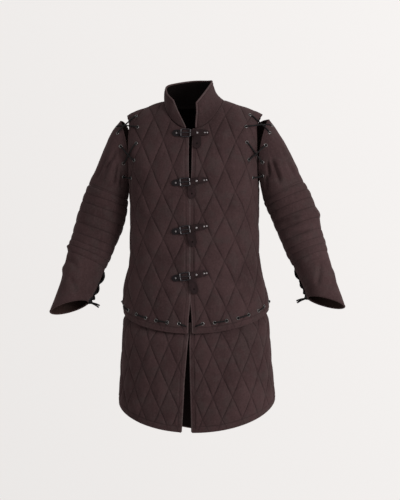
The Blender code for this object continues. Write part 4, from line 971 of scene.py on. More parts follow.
def quilted_panel(name, panel, quilt, outline, cloth, lining):
    """Cuts a sheet to its outline, pads it and lays it over the body."""
    mesh = cut_sheet(quilt, outline.edge, panel.shift)
    flat = vertex_places(mesh)
    places, upper = flat[:, :2], flat[:, 2] > SHEET / 2
    counted = diamonds(places, quilt, panel.shift)
    places = wandering(places, outline)
    points = panel.lay(places, np.zeros(len(places)))
    raised = padding(counted, places, points, quilt, outline, panel.draft.heights[-1])
    move_vertices(mesh, panel.lay(places, np.where(upper, raised, 0.0)))
    set_uv(mesh, "quilt", counted)
    set_uv(mesh, "edge", sewn_rows(places, outline))
    bm = bmesh.new()
    bm.from_mesh(mesh)
    low = {vert.index for vert, is_upper in zip(bm.verts, upper) if not is_upper}
    for face in bm.faces:
        face.material_index = int(all(vert.index in low for vert in face.verts))
    if (panel.side < 0) != panel.draft.back:
        bmesh.ops.reverse_faces(bm, faces=bm.faces)
    made = add_piece(name, new_mesh(bm, name), "cloth", cloth, lining,
                     replaces=[name.removeprefix("fine_")])
    for number, trim in enumerate(outline.trims):
        points = panel.lay(trim.line, np.full(len(trim.line), EDGE_WALL / 2))
        # the rolled front edges get a paler copy of the cloth, a painted highlight
        finish = LIT_EDGE_CLOTH if trim.band == FRONT_BAND else PLAIN_CLOTH
        add_piece(f"{name}_edge_{number}", tube(points, ROLL_RADIUS), "cloth",
                               finish)
    return made


# ---- tubes and laces
def cord_object(name, points, radius, resolution):
    """A round cord along many points."""
    curve = bpy.data.curves.new(name, "CURVE")
    curve.dimensions = "3D"
    curve.bevel_depth = radius
    curve.bevel_resolution = resolution
    curve.use_fill_caps = True
    spline = curve.splines.new("POLY")
    spline.points.add(len(points) - 1)
    for spot, point in zip(spline.points, points):
        spot.co = (*point, 1)
    return linked(name, curve)


def tube(points, radius, sides=10):
    """A round cord along many points, as a closed mesh."""
    made = cord_object("cord", points, radius, max(0, sides // 2 - 2))
    return rebuilt(evaluated_mesh(made), "cord", 1e-6)


def joined(meshes, name):
    bm = bmesh.new()
    for mesh in meshes:
        bm.from_mesh(mesh)
    return new_mesh(bm, name)


class Ground:
    """The faces of finished cloth, on which leather and laces are seated."""

    REACH = 0.04

    def __init__(self, pieces):
        spots, faces = [], []
        for made in pieces:
            first = len(spots)
            spots += [vert.co.copy() for vert in made.data.vertices]
            faces += [[first + i for i in face.vertices] for face in made.data.polygons]
        self.tree = BVHTree.FromPolygons(spots, faces)

    def height(self, place, normal):
        """Height of the outermost face over a place, along the normal; far below if none."""
        distance = self.tree.ray_cast(place + self.REACH * normal, -normal, 2 * self.REACH)[3]
        return -self.REACH if distance is None else self.REACH - distance

    def top(self, place, normal, radius=0.0):
        """The highest cloth over a small spot."""
        across = normal.orthogonal().normalized() * radius
        along = normal.cross(across)
        spots = [place + i * across + j * along for i in (-1, 0, 1) for j in (-1, 0, 1)]
        return max(self.height(spot, normal) for spot in (spots if radius else [place]))

    def seat(self, place, normal, radius=EYELET_RADIUS * 0.7):
        """The place moved out to the cloth's surface."""
        return place + self.top(place, normal, radius) * normal


Spot = namedtuple("Spot", "place normal")


def seated(ground, place, normal):
    """A spot of the form moved out to the cloth that lies over it."""
    place, normal = Vector(place), Vector(normal)
    return Spot(ground.seat(place, normal), normal)


def body_spot(ground, level, turn):
    return seated(ground, *lining_at(level, turn))


def sleeve_spot(ground, sleeve, section, degrees):
    return seated(ground, *sleeve.frame_at(section, math.radians(degrees)))


def lace(ground, first, last, over=0.0, radius=LACE_RADIUS):
    """A lace from one eyelet to another: out of the hole, taut across, and in again."""
    points = []
    for index in range(LACE_STEPS + 1):
        share = index / LACE_STEPS
        normal = first.normal.lerp(last.normal, share).normalized()
        place = first.place.lerp(last.place, share)
        from_end = min(share, 1 - share) * (last.place - first.place).length
        dip = LACE_SINK * math.exp(-((from_end / LACE_MOUTH) ** 2))
        lift = LACE_RADIUS * LACE_REST + EYELET_RISE - dip
        lift += over * math.exp(-(((share - 0.5) / CROSSING_WIDTH) ** 2))
        if from_end > LACE_FREE:
            ground_height = ground.top(place, normal, LACE_RADIUS)
            if ground_height > -ground.REACH / 2:
                lift = max(lift, ground_height + LACE_RADIUS)
        points.append(place + lift * normal)
    for _ in range(2):
        inner = [(a + 2 * b + c) / 4 for a, b, c in zip(points, points[1:], points[2:])]
        points = [points[0]] + inner + [points[-1]]
    return tube(points, radius, 8)


def lace_piece(name, meshes, nodes=None):
    add_piece(f"fine_{name}", joined(meshes, name), "lace", LACE, replaces=nodes or [name])


def eyelet_mesh():
    """A pressed ring with a dark hole, lying in the plane of z, and its hole's disc, which is
    painted shade.
    """
    bm = bmesh.new()
    half = (EYELET_RADIUS - EYELET_HOLE) / 2
    ring = bmesh.ops.create_circle(bm, segments=10, radius=1.0)["verts"]
    place = Matrix.Translation(((EYELET_RADIUS + EYELET_HOLE) / 2, 0, 0))
    turn = Matrix.Rotation(math.pi / 2, 4, "X") @ Matrix.Diagonal((half, EYELET_RISE, 1, 1))
    bmesh.ops.transform(bm, matrix=place @ turn, verts=ring)
    bmesh.ops.spin(bm, geom=bm.verts[:] + bm.edges[:], axis=(0, 0, 1), cent=(0, 0, 0),
                   steps=24, angle=2 * math.pi)
    bmesh.ops.remove_doubles(bm, verts=bm.verts, dist=1e-6)
    bmesh.ops.recalc_face_normals(bm, faces=bm.faces)
    metal = set(bm.faces)
    bmesh.ops.create_circle(bm, cap_ends=True, segments=24, radius=EYELET_HOLE * 1.25,
                            matrix=Matrix.Translation((0, 0, -EYELET_RISE * 0.1)))
    for face in bm.faces:
        face.material_index = int(face not in metal)
    return bm


def upright(spot):
    """A matrix that sets a small part, made flat, on a spot of the cloth."""
    turn = spot.normal.to_track_quat("Z", "Y").to_matrix().to_4x4()
    return Matrix.Translation(spot.place) @ turn


def eyelets(name, spots, finish):
    """Pressed rings on many spots, as one piece."""
    bm = bmesh.new()
    for spot in spots:
        one = eyelet_mesh()
        one.transform(upright(spot))
        bm.from_mesh(new_mesh(one, "eyelet"))
    # the disc in each hole is painted shade
    return add_piece(name, new_mesh(bm, name), "metal", finish, BLACK_CLOTH_AND_SHADE)


# ---- materials
class Nodes:
    """Short ways to chain the nodes of a material or of the world."""

    def __init__(self, owner, shader="Principled BSDF"):
        self.owner = owner
        owner.use_nodes = True
        self.tree = owner.node_tree
        self.shader = self.tree.nodes[shader].inputs
        self.place = self.chain("ShaderNodeTexCoord", ())

    def plug(self, value, socket):
        if hasattr(value, "is_linked"):
            self.tree.links.new(value, socket)
        else:
            socket.default_value = value

    def chain(self, kind, inputs, **settings):
        """The outputs of a new node; its inputs are given by name or in their order."""
        node = self.tree.nodes.new(kind)
        for key, value in settings.items():
            setattr(node, key, value)
        for key, value in inputs.items() if isinstance(inputs, dict) else enumerate(inputs):
            self.plug(value, node.inputs[key])
        return node.outputs

    def math(self, operation, *values):
        return self.chain("ShaderNodeMath", values, operation=operation)[0]

    def ramp(self, value, low, high, start=0.0, end=1.0):
        return self.chain("ShaderNodeMapRange", (value, low, high, start, end),
                          interpolation_type="SMOOTHSTEP")[0]

    def pattern(self, kind, inputs, **settings):
        """A texture of the object's own coordinates."""
        return self.chain(kind, {"Vector": self.place["Object"], **inputs}, **settings)

    def noise(self, scale, detail=3.0, roughness=0.55, stretch=None):
        inputs = {"Scale": scale, "Detail": detail, "Roughness": roughness}
        if stretch:
            inputs["Vector"] = self.pattern("ShaderNodeMapping", {"Scale": stretch})[0]
        return self.pattern("ShaderNodeTexNoise", inputs)["Fac"]

    def uv(self, name):
        place = self.chain("ShaderNodeUVMap", (), uv_map=name)[0]
        return self.chain("ShaderNodeSeparateXYZ", (place,))[:2]

    def mix(self, share, first, second):
        return self.chain("ShaderNodeMix", {"Factor": share, "A": first, "B": second},
                          data_type="RGBA")["Result"]

    def blend(self, share, most, base, other):
        """The base with a share of another colour, and at most this much of it."""
        return self.mix(self.math("MULTIPLY", share, most), base, other)

    def finish(self, colour, roughness, bump, strength, distance, **constants):
        """The finished material; the bump is a height, by its strength and its distance."""
        normal = self.chain("ShaderNodeBump", {"Strength": strength, "Distance": distance,
                                               "Height": bump})[0]
        for key, value in {"Base_Color": colour, "Roughness": roughness, "Normal": normal,
                           **constants}.items():
            self.plug(value, self.shader[key.replace("_", " ")])
        return self.owner


def shaded(colour, red, green=None, blue=None):
    """A colour made darker or paler, by one factor or by one for each channel."""
    factors = (red, green or red, blue or red)
    return tuple(factor * value for factor, value in zip(factors, colour)) + (1.0,)


STITCH_PITCH = 0.0042
THREAD = (0.018, 0.012, 0.012, 1.0)
# Rows of stitches in a UV map: at each whole number, or with no spacing at zero.
Seam = namedtuple("Seam", "uv across spacing length")


def cloth_material(name, colour, seams=(), sheen=0.12):
    """Brushed cloth with a slubbed weave, and rows of stitches along its seams, with painted
    shade in their grooves.
    """
    nodes = Nodes(bpy.data.materials.new(name))
    broad = nodes.noise(8.0, 4.0)
    grain = nodes.noise(230.0, 3.0, 0.62)
    slubs = nodes.noise(120.0, 3.0, 0.6, (1.0, 1.0, 0.30))
    nap = nodes.noise(900.0, 2.0, 0.7)
    patches = nodes.noise(27.0, 3.0, 0.55)
    faded, pale = shaded(colour, 0.98, 1.24, 1.18), shaded(colour, 1.45, 1.50, 1.52)
    base = nodes.mix(nodes.ramp(broad, 0.35, 0.66), shaded(colour, 0.84), shaded(colour, 1.16))
    for pattern, low, high, most, tone in (
            (patches, 0.46, 0.66, 0.55, faded), (grain, 0.50, 0.72, 0.55, pale),
            (grain, 0.48, 0.30, 0.55, shaded(colour, 0.66)), (slubs, 0.50, 0.70, 0.30, pale)):
        base = nodes.blend(nodes.ramp(pattern, low, high), most, base, tone)
    bump = nodes.math("ADD", nodes.math("MULTIPLY", nap, 0.35),
                      nodes.math("MULTIPLY", nodes.math("ADD", grain, slubs), 0.40))
    for seam in seams:
        first, second = nodes.uv(seam.uv)
        across, along = (first, second) if seam.across == "first" else (second, first)
        if seam.spacing:
            distance = nodes.math("MULTIPLY", nodes.math("PINGPONG", across, 0.5), seam.spacing)
        else:
            distance = nodes.math("ABSOLUTE", across)
        metres = nodes.math("MULTIPLY", along, seam.length)
        beat = nodes.math("PINGPONG", metres, STITCH_PITCH / 2)
        dash = nodes.ramp(beat, STITCH_PITCH * 0.10, STITCH_PITCH * 0.18)
        thread = nodes.math("MULTIPLY", nodes.ramp(distance, 0.00075, 0.00045), dash)
        # painted shade: the colour darkens in each stitch groove, more in some patches than in
        # others
        groove = nodes.ramp(distance, 0.0026, 0.0004)
        faint = nodes.ramp(broad, 0.62, 0.40, 0.20, 0.55)
        base = nodes.blend(groove, faint, base, shaded(colour, 0.55))
        base = nodes.blend(thread, 0.7, base, THREAD)
        bump = nodes.math("SUBTRACT", bump, nodes.math("MULTIPLY", groove, 0.8))
        bump = nodes.math("ADD", bump, nodes.math("MULTIPLY", thread, 0.7))
    return nodes.finish(base, nodes.ramp(broad, 0.3, 0.7, 0.97, 0.86), bump, 0.35, 0.0012,
                        Sheen_Weight=sheen, Sheen_Roughness=0.5,
                        Sheen_Tint=(0.40, 0.27, 0.27, 1.0), Specular_IOR_Level=0.03)


def leather_material(name, colour):
    nodes = Nodes(bpy.data.materials.new(name))
    cells = nodes.pattern("ShaderNodeTexVoronoi", {"Scale": 1400.0})["Distance"]
    blotch = nodes.noise(60.0, 3.0)
    base = nodes.blend(nodes.ramp(blotch, 0.45, 0.72), 0.7, colour, shaded(colour, 2.0))
    bump = nodes.math("ADD", nodes.math("MULTIPLY", cells, 0.6), blotch)
    return nodes.finish(base, nodes.ramp(blotch, 0.3, 0.7, 0.62, 0.42), bump, 0.35, 0.0006,
                        Specular_IOR_Level=0.07)


def metal_material(name, colour, dull):
    nodes = Nodes(bpy.data.materials.new(name))
    spots = nodes.noise(350.0, 4.0)
    scratches = nodes.noise(500.0, 3.0, 0.6, (1.0, 1.0, 0.12))
    base = nodes.blend(nodes.ramp(spots, 0.48, 0.64), 0.75, colour, shaded(colour, 0.25))
    return nodes.finish(base, nodes.ramp(scratches, 0.3, 0.7, dull, dull + 0.2), scratches,
                        0.25, 0.0003, Metallic=1.0)


def lace_material(name):
    """Black waxed cord, braided."""
    nodes = Nodes(bpy.data.materials.new(name))
    waves = nodes.pattern("ShaderNodeTexWave", {"Scale": 330.0, "Distortion": 1.5},
                          wave_type="BANDS", bands_direction="DIAGONAL")["Fac"]
    tone = nodes.noise(300.0)
    base = nodes.mix(tone, (0.0020, 0.0018, 0.0020, 1.0), (0.0060, 0.0055, 0.0060, 1.0))
    return nodes.finish(base, 0.62, nodes.math("ADD", waves, tone), 0.5, 0.0005,
                        Specular_IOR_Level=0.10)


def floor_material():
    nodes = Nodes(bpy.data.materials.new("pale paper"))
    tone = nodes.noise(2.2, 5.0, 0.6)
    base = nodes.mix(tone, (0.76, 0.73, 0.71, 1.0), (0.84, 0.82, 0.80, 1.0))
    return nodes.finish(base, 0.95, nodes.noise(120.0), 0.05, 0.001, Specular_IOR_Level=0.1)


EDGE_SEAM = Seam("edge", "first", 0.0, 1.0)


def quilt_seams(quilt):
    spacing = quilt.width * quilt.height / math.hypot(quilt.width, quilt.height)
    length = math.hypot(quilt.width, quilt.height) / 2
    return (Seam("quilt", "first", spacing, length), Seam("quilt", "second", spacing, length),
            EDGE_SEAM)


CLOTH = (0.0275, 0.0158, 0.0163, 1.0)
TORSO_CLOTH = cloth_material("quilted cloth", CLOTH, quilt_seams(TORSO_QUILT))
SKIRT_CLOTH = cloth_material("quilted skirt cloth", CLOTH, quilt_seams(SKIRT_QUILT))
PLAIN_CLOTH = cloth_material("plain cloth", CLOTH)
# a paler copy of the cloth for rolled edges: painted highlight
LIT_EDGE_CLOTH = cloth_material("worn edge", (0.0400, 0.0258, 0.0262, 1.0))
# the cloth darkened for the collar: painted shade
SHADED_COLLAR_CLOTH = cloth_material("collar cloth", (0.0236, 0.0136, 0.0140, 1.0))
# the cloth lightened for the forearms: painted light
LIT_FOREARM_CLOTH = cloth_material("forearm cloth", (0.0305, 0.0176, 0.0181, 1.0))
EDGED_CLOTH = cloth_material("sewn cloth", CLOTH, (EDGE_SEAM,))
CHANNEL_SEAM = Seam("quilt", "first", CHANNEL_PITCH, CHANNEL_PITCH)
CHANNEL_CLOTH = cloth_material("channelled cloth", CLOTH, (CHANNEL_SEAM, EDGE_SEAM))
# dark linings, darkened further as painted shade inside the openings
SLEEVE_LINING_AND_SHADE = cloth_material("sleeve lining", (0.0170, 0.0098, 0.0088, 1.0), sheen=0.0)
BODY_LINING_AND_SHADE = cloth_material("body lining", (0.0042, 0.0025, 0.0025, 1.0), sheen=0.0)
# black cloth of the gusset, also used as painted shade inside the collar and in holes
BLACK_CLOTH_AND_SHADE = cloth_material("black cloth", (0.0026, 0.0017, 0.0017, 1.0), sheen=0.0)
TAB_LEATHER = leather_material("tab leather", (0.0056, 0.0042, 0.0050, 1.0))
STRAP_LEATHER = leather_material("strap leather", (0.0098, 0.0052, 0.0056, 1.0))
BUCKLE_METAL = metal_material("dark steel", (0.034, 0.032, 0.036, 1.0), 0.40)
RIVET_METAL = metal_material("bright steel", (0.20, 0.185, 0.19, 1.0), 0.28)
# a paler steel for the buckles' two bars: painted highlight
HIGHLIGHT_BAR_METAL = metal_material("worn steel", (0.085, 0.080, 0.084, 1.0), 0.32)
RING_METAL = metal_material("ring steel", (0.145, 0.140, 0.140, 1.0), 0.30)
LACE = lace_material("black lace")


# ---- the collar
COLLAR_COLUMNS, COLLAR_ROWS = 150, 30
COLLAR_FOOT = 0.13           # what is turned in under the seam, as a share of its height
COLLAR_END_LEAN = {0: -0.0060, -1: 0.0045}           # how far each open end leans along x
COLLAR_CORE = COLLAR_WALL * 0.45                     # from its inner face to its rolled edge
COLLAR_EDGE = 0.42           # its wall at an edge, as a share of COLLAR_WALL
COLLAR_FOOT_WALL = 0.0015    # and below the seam
COLLAR_CREASE = 0.0013       # the groove under its upper edge


def neck_base(degrees):
    """The neckline's points and the body's normals there."""
    angle = np.radians(degrees)
    side = np.where(angle > np.pi, -1.0, 1.0)
    angle = np.where(angle > np.pi, 2 * np.pi - angle, angle)
    places = []
    for back in (False, True):
        level, turn = neck_places(np.pi - angle if back else angle, back)
        places.append(lining_at(level, turn * side))
    behind = (angle > np.pi / 2)[:, None]
    return tuple(np.where(behind, at_back, at_front) for at_front, at_back in zip(*places))


def outward_of(vectors, base):
    """The vectors, turned round where they point towards the neck's middle."""
    away = base[:, :2] - np.array((0.0, -0.02))
    facing = (vectors[:, :2] * away).sum(axis=1)
    return vectors * np.where(facing < 0, -1.0, 1.0)[:, None]


def collar_piece():
    """The stand collar: a padded band with soft rolled edges, black inside; the black is partly
    painted shade, and the outside's darker cloth is painted shade.
    """
    around = COLLAR_COLUMNS
    turns = np.linspace(COLLAR_TOP[0].turn, COLLAR_TOP[-1].turn, around + 1)
    base, normal = neck_base(turns)
    along = unit(neck_base(turns + 1.0)[0] - neck_base(turns - 1.0)[0])
    into_hole = -outward_of(unit(np.cross(normal, along)), base)
    row = smooth_rows(COLLAR_TOP, "turn", turns)
    top = np.stack([row.x, row.y, row.z], axis=-1)
    outward = outward_of(unit(np.cross(top - base, along)), base)
    length = np.linalg.norm(top - base, axis=1)
    facing = np.maximum(0.0, -(outward * into_hole).sum(axis=1))[:, None]
    foot = base + into_hole * (SEAM_GAP + CLEAR + COLLAR_WALL * facing)

    mesh, flat, is_inner = double_sheet(around, COLLAR_ROWS)
    column = np.rint((flat[:, 0] + 0.5) * around).astype(int)
    rise = ((flat[:, 1] + 0.5) * (1 + COLLAR_FOOT) - COLLAR_FOOT)[:, None]
    share = np.maximum(rise, 0.0)
    ends = np.minimum(column, around - column) / around
    middle = foot[column] * (1 - rise) + top[column] * rise
    middle = middle + outward[column] * row.bow[column][:, None] * np.sin(np.pi * share)
    turned_in = np.maximum(-rise, 0.0) * length[column][:, None]
    middle = middle - outward[column] * turned_in * 0.8
    near = (1 - smoothstep(ends / 0.10)) * (1 - smoothstep(share[:, 0] / 0.75))
    middle[:, 0] += np.where(column < around / 2, *COLLAR_END_LEAN.values()) * near
    rim = np.minimum(smoothstep((1 - share[:, 0]) / 0.10), smoothstep(ends / 0.015))
    soft = uneven(middle, (0.0009, 26.0, 2.0), (0.0006, 60.0, 7.0))
    crease = -COLLAR_CREASE * np.exp(-(((share[:, 0] - 0.84) / 0.035) ** 2))
    thick = COLLAR_WALL * (COLLAR_EDGE + (1 - COLLAR_EDGE) * rim) + (soft + crease) * rim
    thick = thick - (thick - COLLAR_FOOT_WALL) * smoothstep(-rise[:, 0] / 0.05)
    lift = np.where(is_inner, COLLAR_WALL * 0.28 * (1 - rim), thick)
    move_vertices(mesh, middle + outward[column] * lift[:, None])
    # outside a darker copy of the cloth, painted shade; inside black cloth, partly painted
    # shade
    made = add_piece("fine_collar", rebuilt(mesh, "fine_collar"), "cloth", SHADED_COLLAR_CLOTH,
                     BLACK_CLOTH_AND_SHADE, replaces=["collar"], smooth=60)
    rim_points = top + outward * COLLAR_CORE
    ends = []
    for spot, lean in COLLAR_END_LEAN.items():
        shares = np.linspace(0.0, 1.0, 20)[:, None]
        line = (foot[spot] * (1 - shares) + top[spot] * shares
                + outward[spot] * (COLLAR_CORE + row.bow[spot] * np.sin(np.pi * shares)))
        line[:, 0] += lean * (1 - smoothstep(shares[:, 0] / 0.75))
        ends.append(line)
    path = np.concatenate([ends[0], rim_points[1:-1], ends[1][::-1]])
    # the collar's rolled rim in the paler cloth of the painted highlight
    roll = add_piece("fine_collar_edge", tube(path, ROLL_RADIUS), "cloth", LIT_EDGE_CLOTH)


# ---- sleeves
SLEEVE_RIM = 0.006           # a stretch of sleeve thins out over this distance at its ends,
SLEEVE_RIM_SINK = 0.0008     # and by this much
CREASE_FADE = 0.020
HEAD_REACH = 1.6             # sections over which the head's bow fades
GUSSET_HEM = 0.05            # the gusset ends above the cuff, in sections
GUSSET_FILL = 0.8            # how much of the slit it fills
FIRST_EYELETS, LAST_EYELETS = 0.08, 0.12             # from the slit's ends, in sections
EYELET_BESIDE = 0.13         # from the slit's edge, in radians


class Sleeve:
    """One sleeve's outer surface, from the head (section 0) to the cuff (section 9)."""

    SECTION = 0.060              # about the length of one section along the sleeve
    RADIUS = 0.068

    def __init__(self, name):
        self.name = name
        self.side = 1 if name == "left" else -1
        self.table = LEFT_ARM if name == "left" else RIGHT_ARM
        self.scoop = HEAD_SCOOP[name]
        self.seam, self.seam_start = ELBOW_SEAM[name]

    def surface(self, section, turn):
        section, turn = np.broadcast_arrays(np.asarray(section, float), np.asarray(turn, float))
        row = smooth_rows(self.table, "number", section)
        zero = np.zeros_like(section)
        inside_end = np.stack([row.in_x, zero, row.in_z], axis=-1)
        outside_end = np.stack([row.out_x, zero, row.out_z], axis=-1)
        forward = np.stack([zero, -row.deep, row.lean], axis=-1)
        place = ((inside_end + outside_end) / 2
                 + (outside_end - inside_end) / 2 * np.cos(turn)[..., None]
                 + forward * np.sin(turn)[..., None])
        place[..., 1] += row.y
        fade = np.maximum(0.0, 1 - np.maximum(section, 0.0) / HEAD_REACH) ** 2
        place[..., 0] -= self.head_bow(turn) * fade
        place[..., 0] *= self.side
        return place

    def head_bow(self, turn):
        """Bow of the head's edge; the upper quarter behind reaches further to the body."""
        across, up = abs(np.sin(turn)), np.cos(turn)
        behind_high = self.scoop.back * across**0.7 + self.scoop.upper_back * across * up * 2
        behind = np.where(up < 0, self.scoop.back * across**2, behind_high)
        return np.where(np.sin(turn) > 0, self.scoop.front * across**2, behind)

    def normals(self, section, turn):
        small = 0.02
        around = self.surface(section, turn + small) - self.surface(section, turn - small)
        along = self.surface(section + small, turn) - self.surface(section - small, turn)
        return unit(np.cross(along, around)) * -self.side

    def frame_at(self, section, turn):
        return self.surface(section, turn), self.normals(np.asarray(section, float), turn)

    def creases(self, section, turn):
        """Soft folds and unevenness of the cloth."""
        turn = np.mod(turn, 2 * np.pi)
        total = np.zeros(len(turn))
        creases = [Fold(self.unrolled(fold.start[0], math.radians(fold.start[1])),
                        self.unrolled(fold.end[0], math.radians(self.near_turn(fold))),
                        fold.width, fold.depth) for fold in SLEEVE_FOLDS[self.name]]
        for shift in (-2 * np.pi, 0.0, 2 * np.pi):
            places = np.stack(self.unrolled(section, turn + shift), axis=-1)
            total += fold_height(places, creases)
        points = self.surface(section, turn)
        return SLEEVE_CREASE * total + uneven(points, (0.0010, 14.0, 4.0), (0.0005, 38.0, 8.0))

    def unrolled(self, section, turn):
        """Metres along and round the sleeve."""
        return section * self.SECTION, turn * self.RADIUS

    @staticmethod
    def near_turn(fold):
        """A fold's end, counted on past a whole turn where that is the shorter way."""
        start, end = fold.start[1], fold.end[1]
        return end + 360 * round((start - end) / 360)


def sleeve_sheet(sleeve, part, first, last, rows, columns, relief, finish, slit=None):
    """A stretch of sleeve as a closed wall: a tube, or open along the forearm's slit."""
    name = f"fine_{part}_{sleeve.name}"
    mesh, flat, is_inner = double_sheet(columns, rows, tube=slit is None)
    section = first + (last - first) * (flat[:, 1] + 0.5)
    half = slit(section) if slit else 0.0
    start = SLIT_TURN if slit else 0.0
    turn = start + half + (2 * np.pi - 2 * half) * (flat[:, 0] + 0.5)
    rim = np.minimum(section - first, last - section) * sleeve.SECTION
    soft = smoothstep(rim / SLEEVE_RIM)
    height = sleeve.creases(section, turn) * smoothstep(rim / CREASE_FADE)
    raised = relief(section, turn) * soft - SLEEVE_RIM_SINK * (1 - soft)
    height = height + np.where(is_inner, -SLEEVE_WALL, raised)
    points = sleeve.surface(section, turn) + height[:, None] * sleeve.normals(section, turn)
    move_vertices(mesh, points)
    around = (turn - start) * sleeve.RADIUS
    set_uv(mesh, "quilt", np.stack([channel_at(section), around / CHANNEL_PITCH], axis=-1))
    if part == "sleeve_elbow":                     # a seam along the arm, below the elbow
        off_seam = (turn - math.radians(sleeve.seam)) * sleeve.RADIUS
        off_seam = off_seam + 0.05 * (1 - smoothstep((section - sleeve.seam_start) / 0.05))
        set_uv(mesh, "edge", np.stack([off_seam, section * sleeve.SECTION], axis=-1))
    else:
        set_uv(mesh, "edge", np.stack([rim - SLEEVE_ROW, around], axis=-1))
    # the sleeve's inside: dark lining, partly painted shade
    made = add_piece(name, rebuilt(mesh, name, 1e-5), "cloth", finish, SLEEVE_LINING_AND_SHADE,
                     replaces=[f"{part}_{sleeve.name}"], smooth=50)
    turns, sections = np.linspace(0, 2 * np.pi, 80), np.linspace(first, last, 30)
    ring = sleeve.surface(np.full(80, (first + last) / 2), turns)
    lengths = steps(sleeve.surface(sections[:, None], turns[None, ::8])).sum(axis=0)
    return made


def seam_roll(sleeve, part, section, start=0.0, end=2 * math.pi):
    """A rolled edge round the sleeve."""
    turns = np.linspace(start, end, 90)
    places, normals = sleeve.frame_at(np.full(90, section), turns)
    line = tube(places - SLEEVE_WALL / 2 * normals, ROLL_RADIUS)
    add_piece(f"fine_{part}_{sleeve.name}", line, "cloth", PLAIN_CLOTH)


def plain_relief(section, turn):
    return np.zeros(len(section))


def channel_at(section):
    """A place along the sleeve, counted in the elbow's channels."""
    return (section - ELBOW_START) / (ELBOW_END - ELBOW_START) * CHANNELS


def channel_relief(section, turn):
    """Cross-stitched channels, uneven in height and not quite parallel."""
    count = channel_at(section)
    wobble = count + 0.08 * np.sin(3 * turn + count) + 0.04 * np.sin(7 * turn - 2 * count)
    plump = 0.78 + 0.22 * np.sin(np.floor(count) * 2.4)
    swell = abs(np.sin(np.pi * wobble)) ** 0.55
    return CHANNEL_PUFF * swell * plump


def along_slit(section):
    """A place along the forearm's slit: 0 where it starts, 1 at the cuff."""
    return (section - SLIT_START) / (CUFF - SLIT_START)


def slit_half_angle(section):
    widening = (SLIT_HALF_GAP_CUFF - SLIT_HALF_GAP) * np.clip(along_slit(section), 0, 1)
    return (SLIT_HALF_GAP + widening) / FOREARM_RADIUS


def gusset_height(section):
    bulges = abs(np.sin(np.pi * GUSSET_BULGES * along_slit(section)))
    return GUSSET_BULGE * (0.25 + 0.75 * bulges)


def gusset_piece(sleeve):
    """The black gusset that bulges out between the laces of the forearm's seam."""
    name = f"fine_gusset_{sleeve.name}"
    mesh, flat, is_inner = double_sheet(20, 90, lined=False)
    section = SLIT_START + (CUFF - GUSSET_HEM - SLIT_START) * (flat[:, 1] + 0.5)
    angle = flat[:, 0] * 2 * GUSSET_SEAM
    under = -SLEEVE_WALL - GUSSET_UNDER
    reach = slit_half_angle(section) * GUSSET_FILL
    dome = np.sqrt(np.maximum(0.0, 1 - (angle / reach) ** 2))
    height = under + (gusset_height(section) - under) * dome
    points = sleeve.surface(section, SLIT_TURN + angle)
    height = height + GUSSET_PUCKER * noise_at(points, 90.0) * dome
    height = height - np.where(is_inner, GUSSET_WALL, 0.0)
    normals = sleeve.normals(section, SLIT_TURN + angle)
    move_vertices(mesh, points + height[:, None] * normals)
    made = add_piece(name, rebuilt(mesh, name), "black_cloth", BLACK_CLOTH_AND_SHADE,
                     replaces=[f"forearm_gusset_{sleeve.name}"], smooth=60)


def forearm_lacing(sleeve, ground):
    """The lace that draws the forearm's slit together over the gusset, and its tie."""
    rows = []
    for number in range(GUSSET_BULGES + 1):
        section = SLIT_START + (CUFF - SLIT_START) * number / GUSSET_BULGES
        section = min(max(section, SLIT_START + FIRST_EYELETS), CUFF - LAST_EYELETS)
        half = float(slit_half_angle(section)) + EYELET_BESIDE
        rows.append([sleeve_spot(ground, sleeve, section, math.degrees(SLIT_TURN + way * half))
                     for way in (-1, 1)])
    strands = []
    for upper, lower in zip(rows, rows[1:]):
        strands += [(upper[0], lower[1], 0.004), (upper[1], lower[0], 0.001)]
    strands += [(*rows[0], 0.001), (*rows[-1], 0.001)]
    meshes = [lace(ground, *strand, radius=FOREARM_LACE_RADIUS) for strand in strands]
    low = rows[-1]
    normal = (low[0].normal + low[1].normal).normalized()
    knot = (low[0].place + low[1].place) / 2 + normal * KNOT_RISE
    bm = bmesh.new()
    bmesh.ops.create_uvsphere(
        bm, u_segments=16, v_segments=10, radius=KNOT_RADIUS,
        matrix=Matrix.Translation(knot) @ Matrix.Diagonal((1.2, 1.0, 0.85, 1)))
    meshes.append(new_mesh(bm, "knot"))
    lace_piece(f"forearm_lace_{sleeve.name}", meshes)
    eyelets(f"eyelets_forearm_{sleeve.name}", [spot for pair in rows for spot in pair],
            BUCKLE_METAL)
    return knot, normal


def tie_end(name, knot, normal, direction):
    """One free end of the tie: a short lace that stands a little away from the sleeve."""
    place, heading = knot.copy(), (normal * TIE_LIFT + direction).normalized()
    points = []
    for _ in range(TIE_STEPS + 1):
        points.append(place)
        heading = (heading - Vector((0, 0, TIE_DROOP))).normalized()
        place = place + heading * (TIE_LENGTH / TIE_STEPS)
    made = cord_object(name, points, TIE_RADIUS, 4)
    made.data.materials.append(LACE)
    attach(made, "root")


# ---- closures
PLATE_ROUNDING = 0.0022      # leather: the radius of its corners
PLATE_BEVEL = 0.0007         # its worn upper edge
PLATE_CELL = 0.003           # and the cells by which it bends over the cloth
STRAP_LIFT = 0.0008          # of the strap over its tail
PRONG_RADIUS = 0.0013
PRONG_ARCH = 0.0006
BUCKLE_CORNER = 0.0036
BUCKLE_STEP = 0.0025         # from point to point round its frame
ROLLER_LIFT = 0.0004         # the bright bars: over the frame, and thicker than its wire
ROLLER_SWELL = 0.0005
RIVET_SIZES = (0.0030, 0.0034, 0.0026)               # on the tab, beside the frame, at the end
RIVET_FLATNESS = 0.48
HOLE_RADIUS = 0.0024         # the punched hole in a tail, and its place above the tail's end
HOLE_RISE = 0.014


def tilted(x, z, closure):
    tilt = math.radians(closure.tilt)
    return x * math.cos(tilt) - z * math.sin(tilt), x * math.sin(tilt) + z * math.cos(tilt)


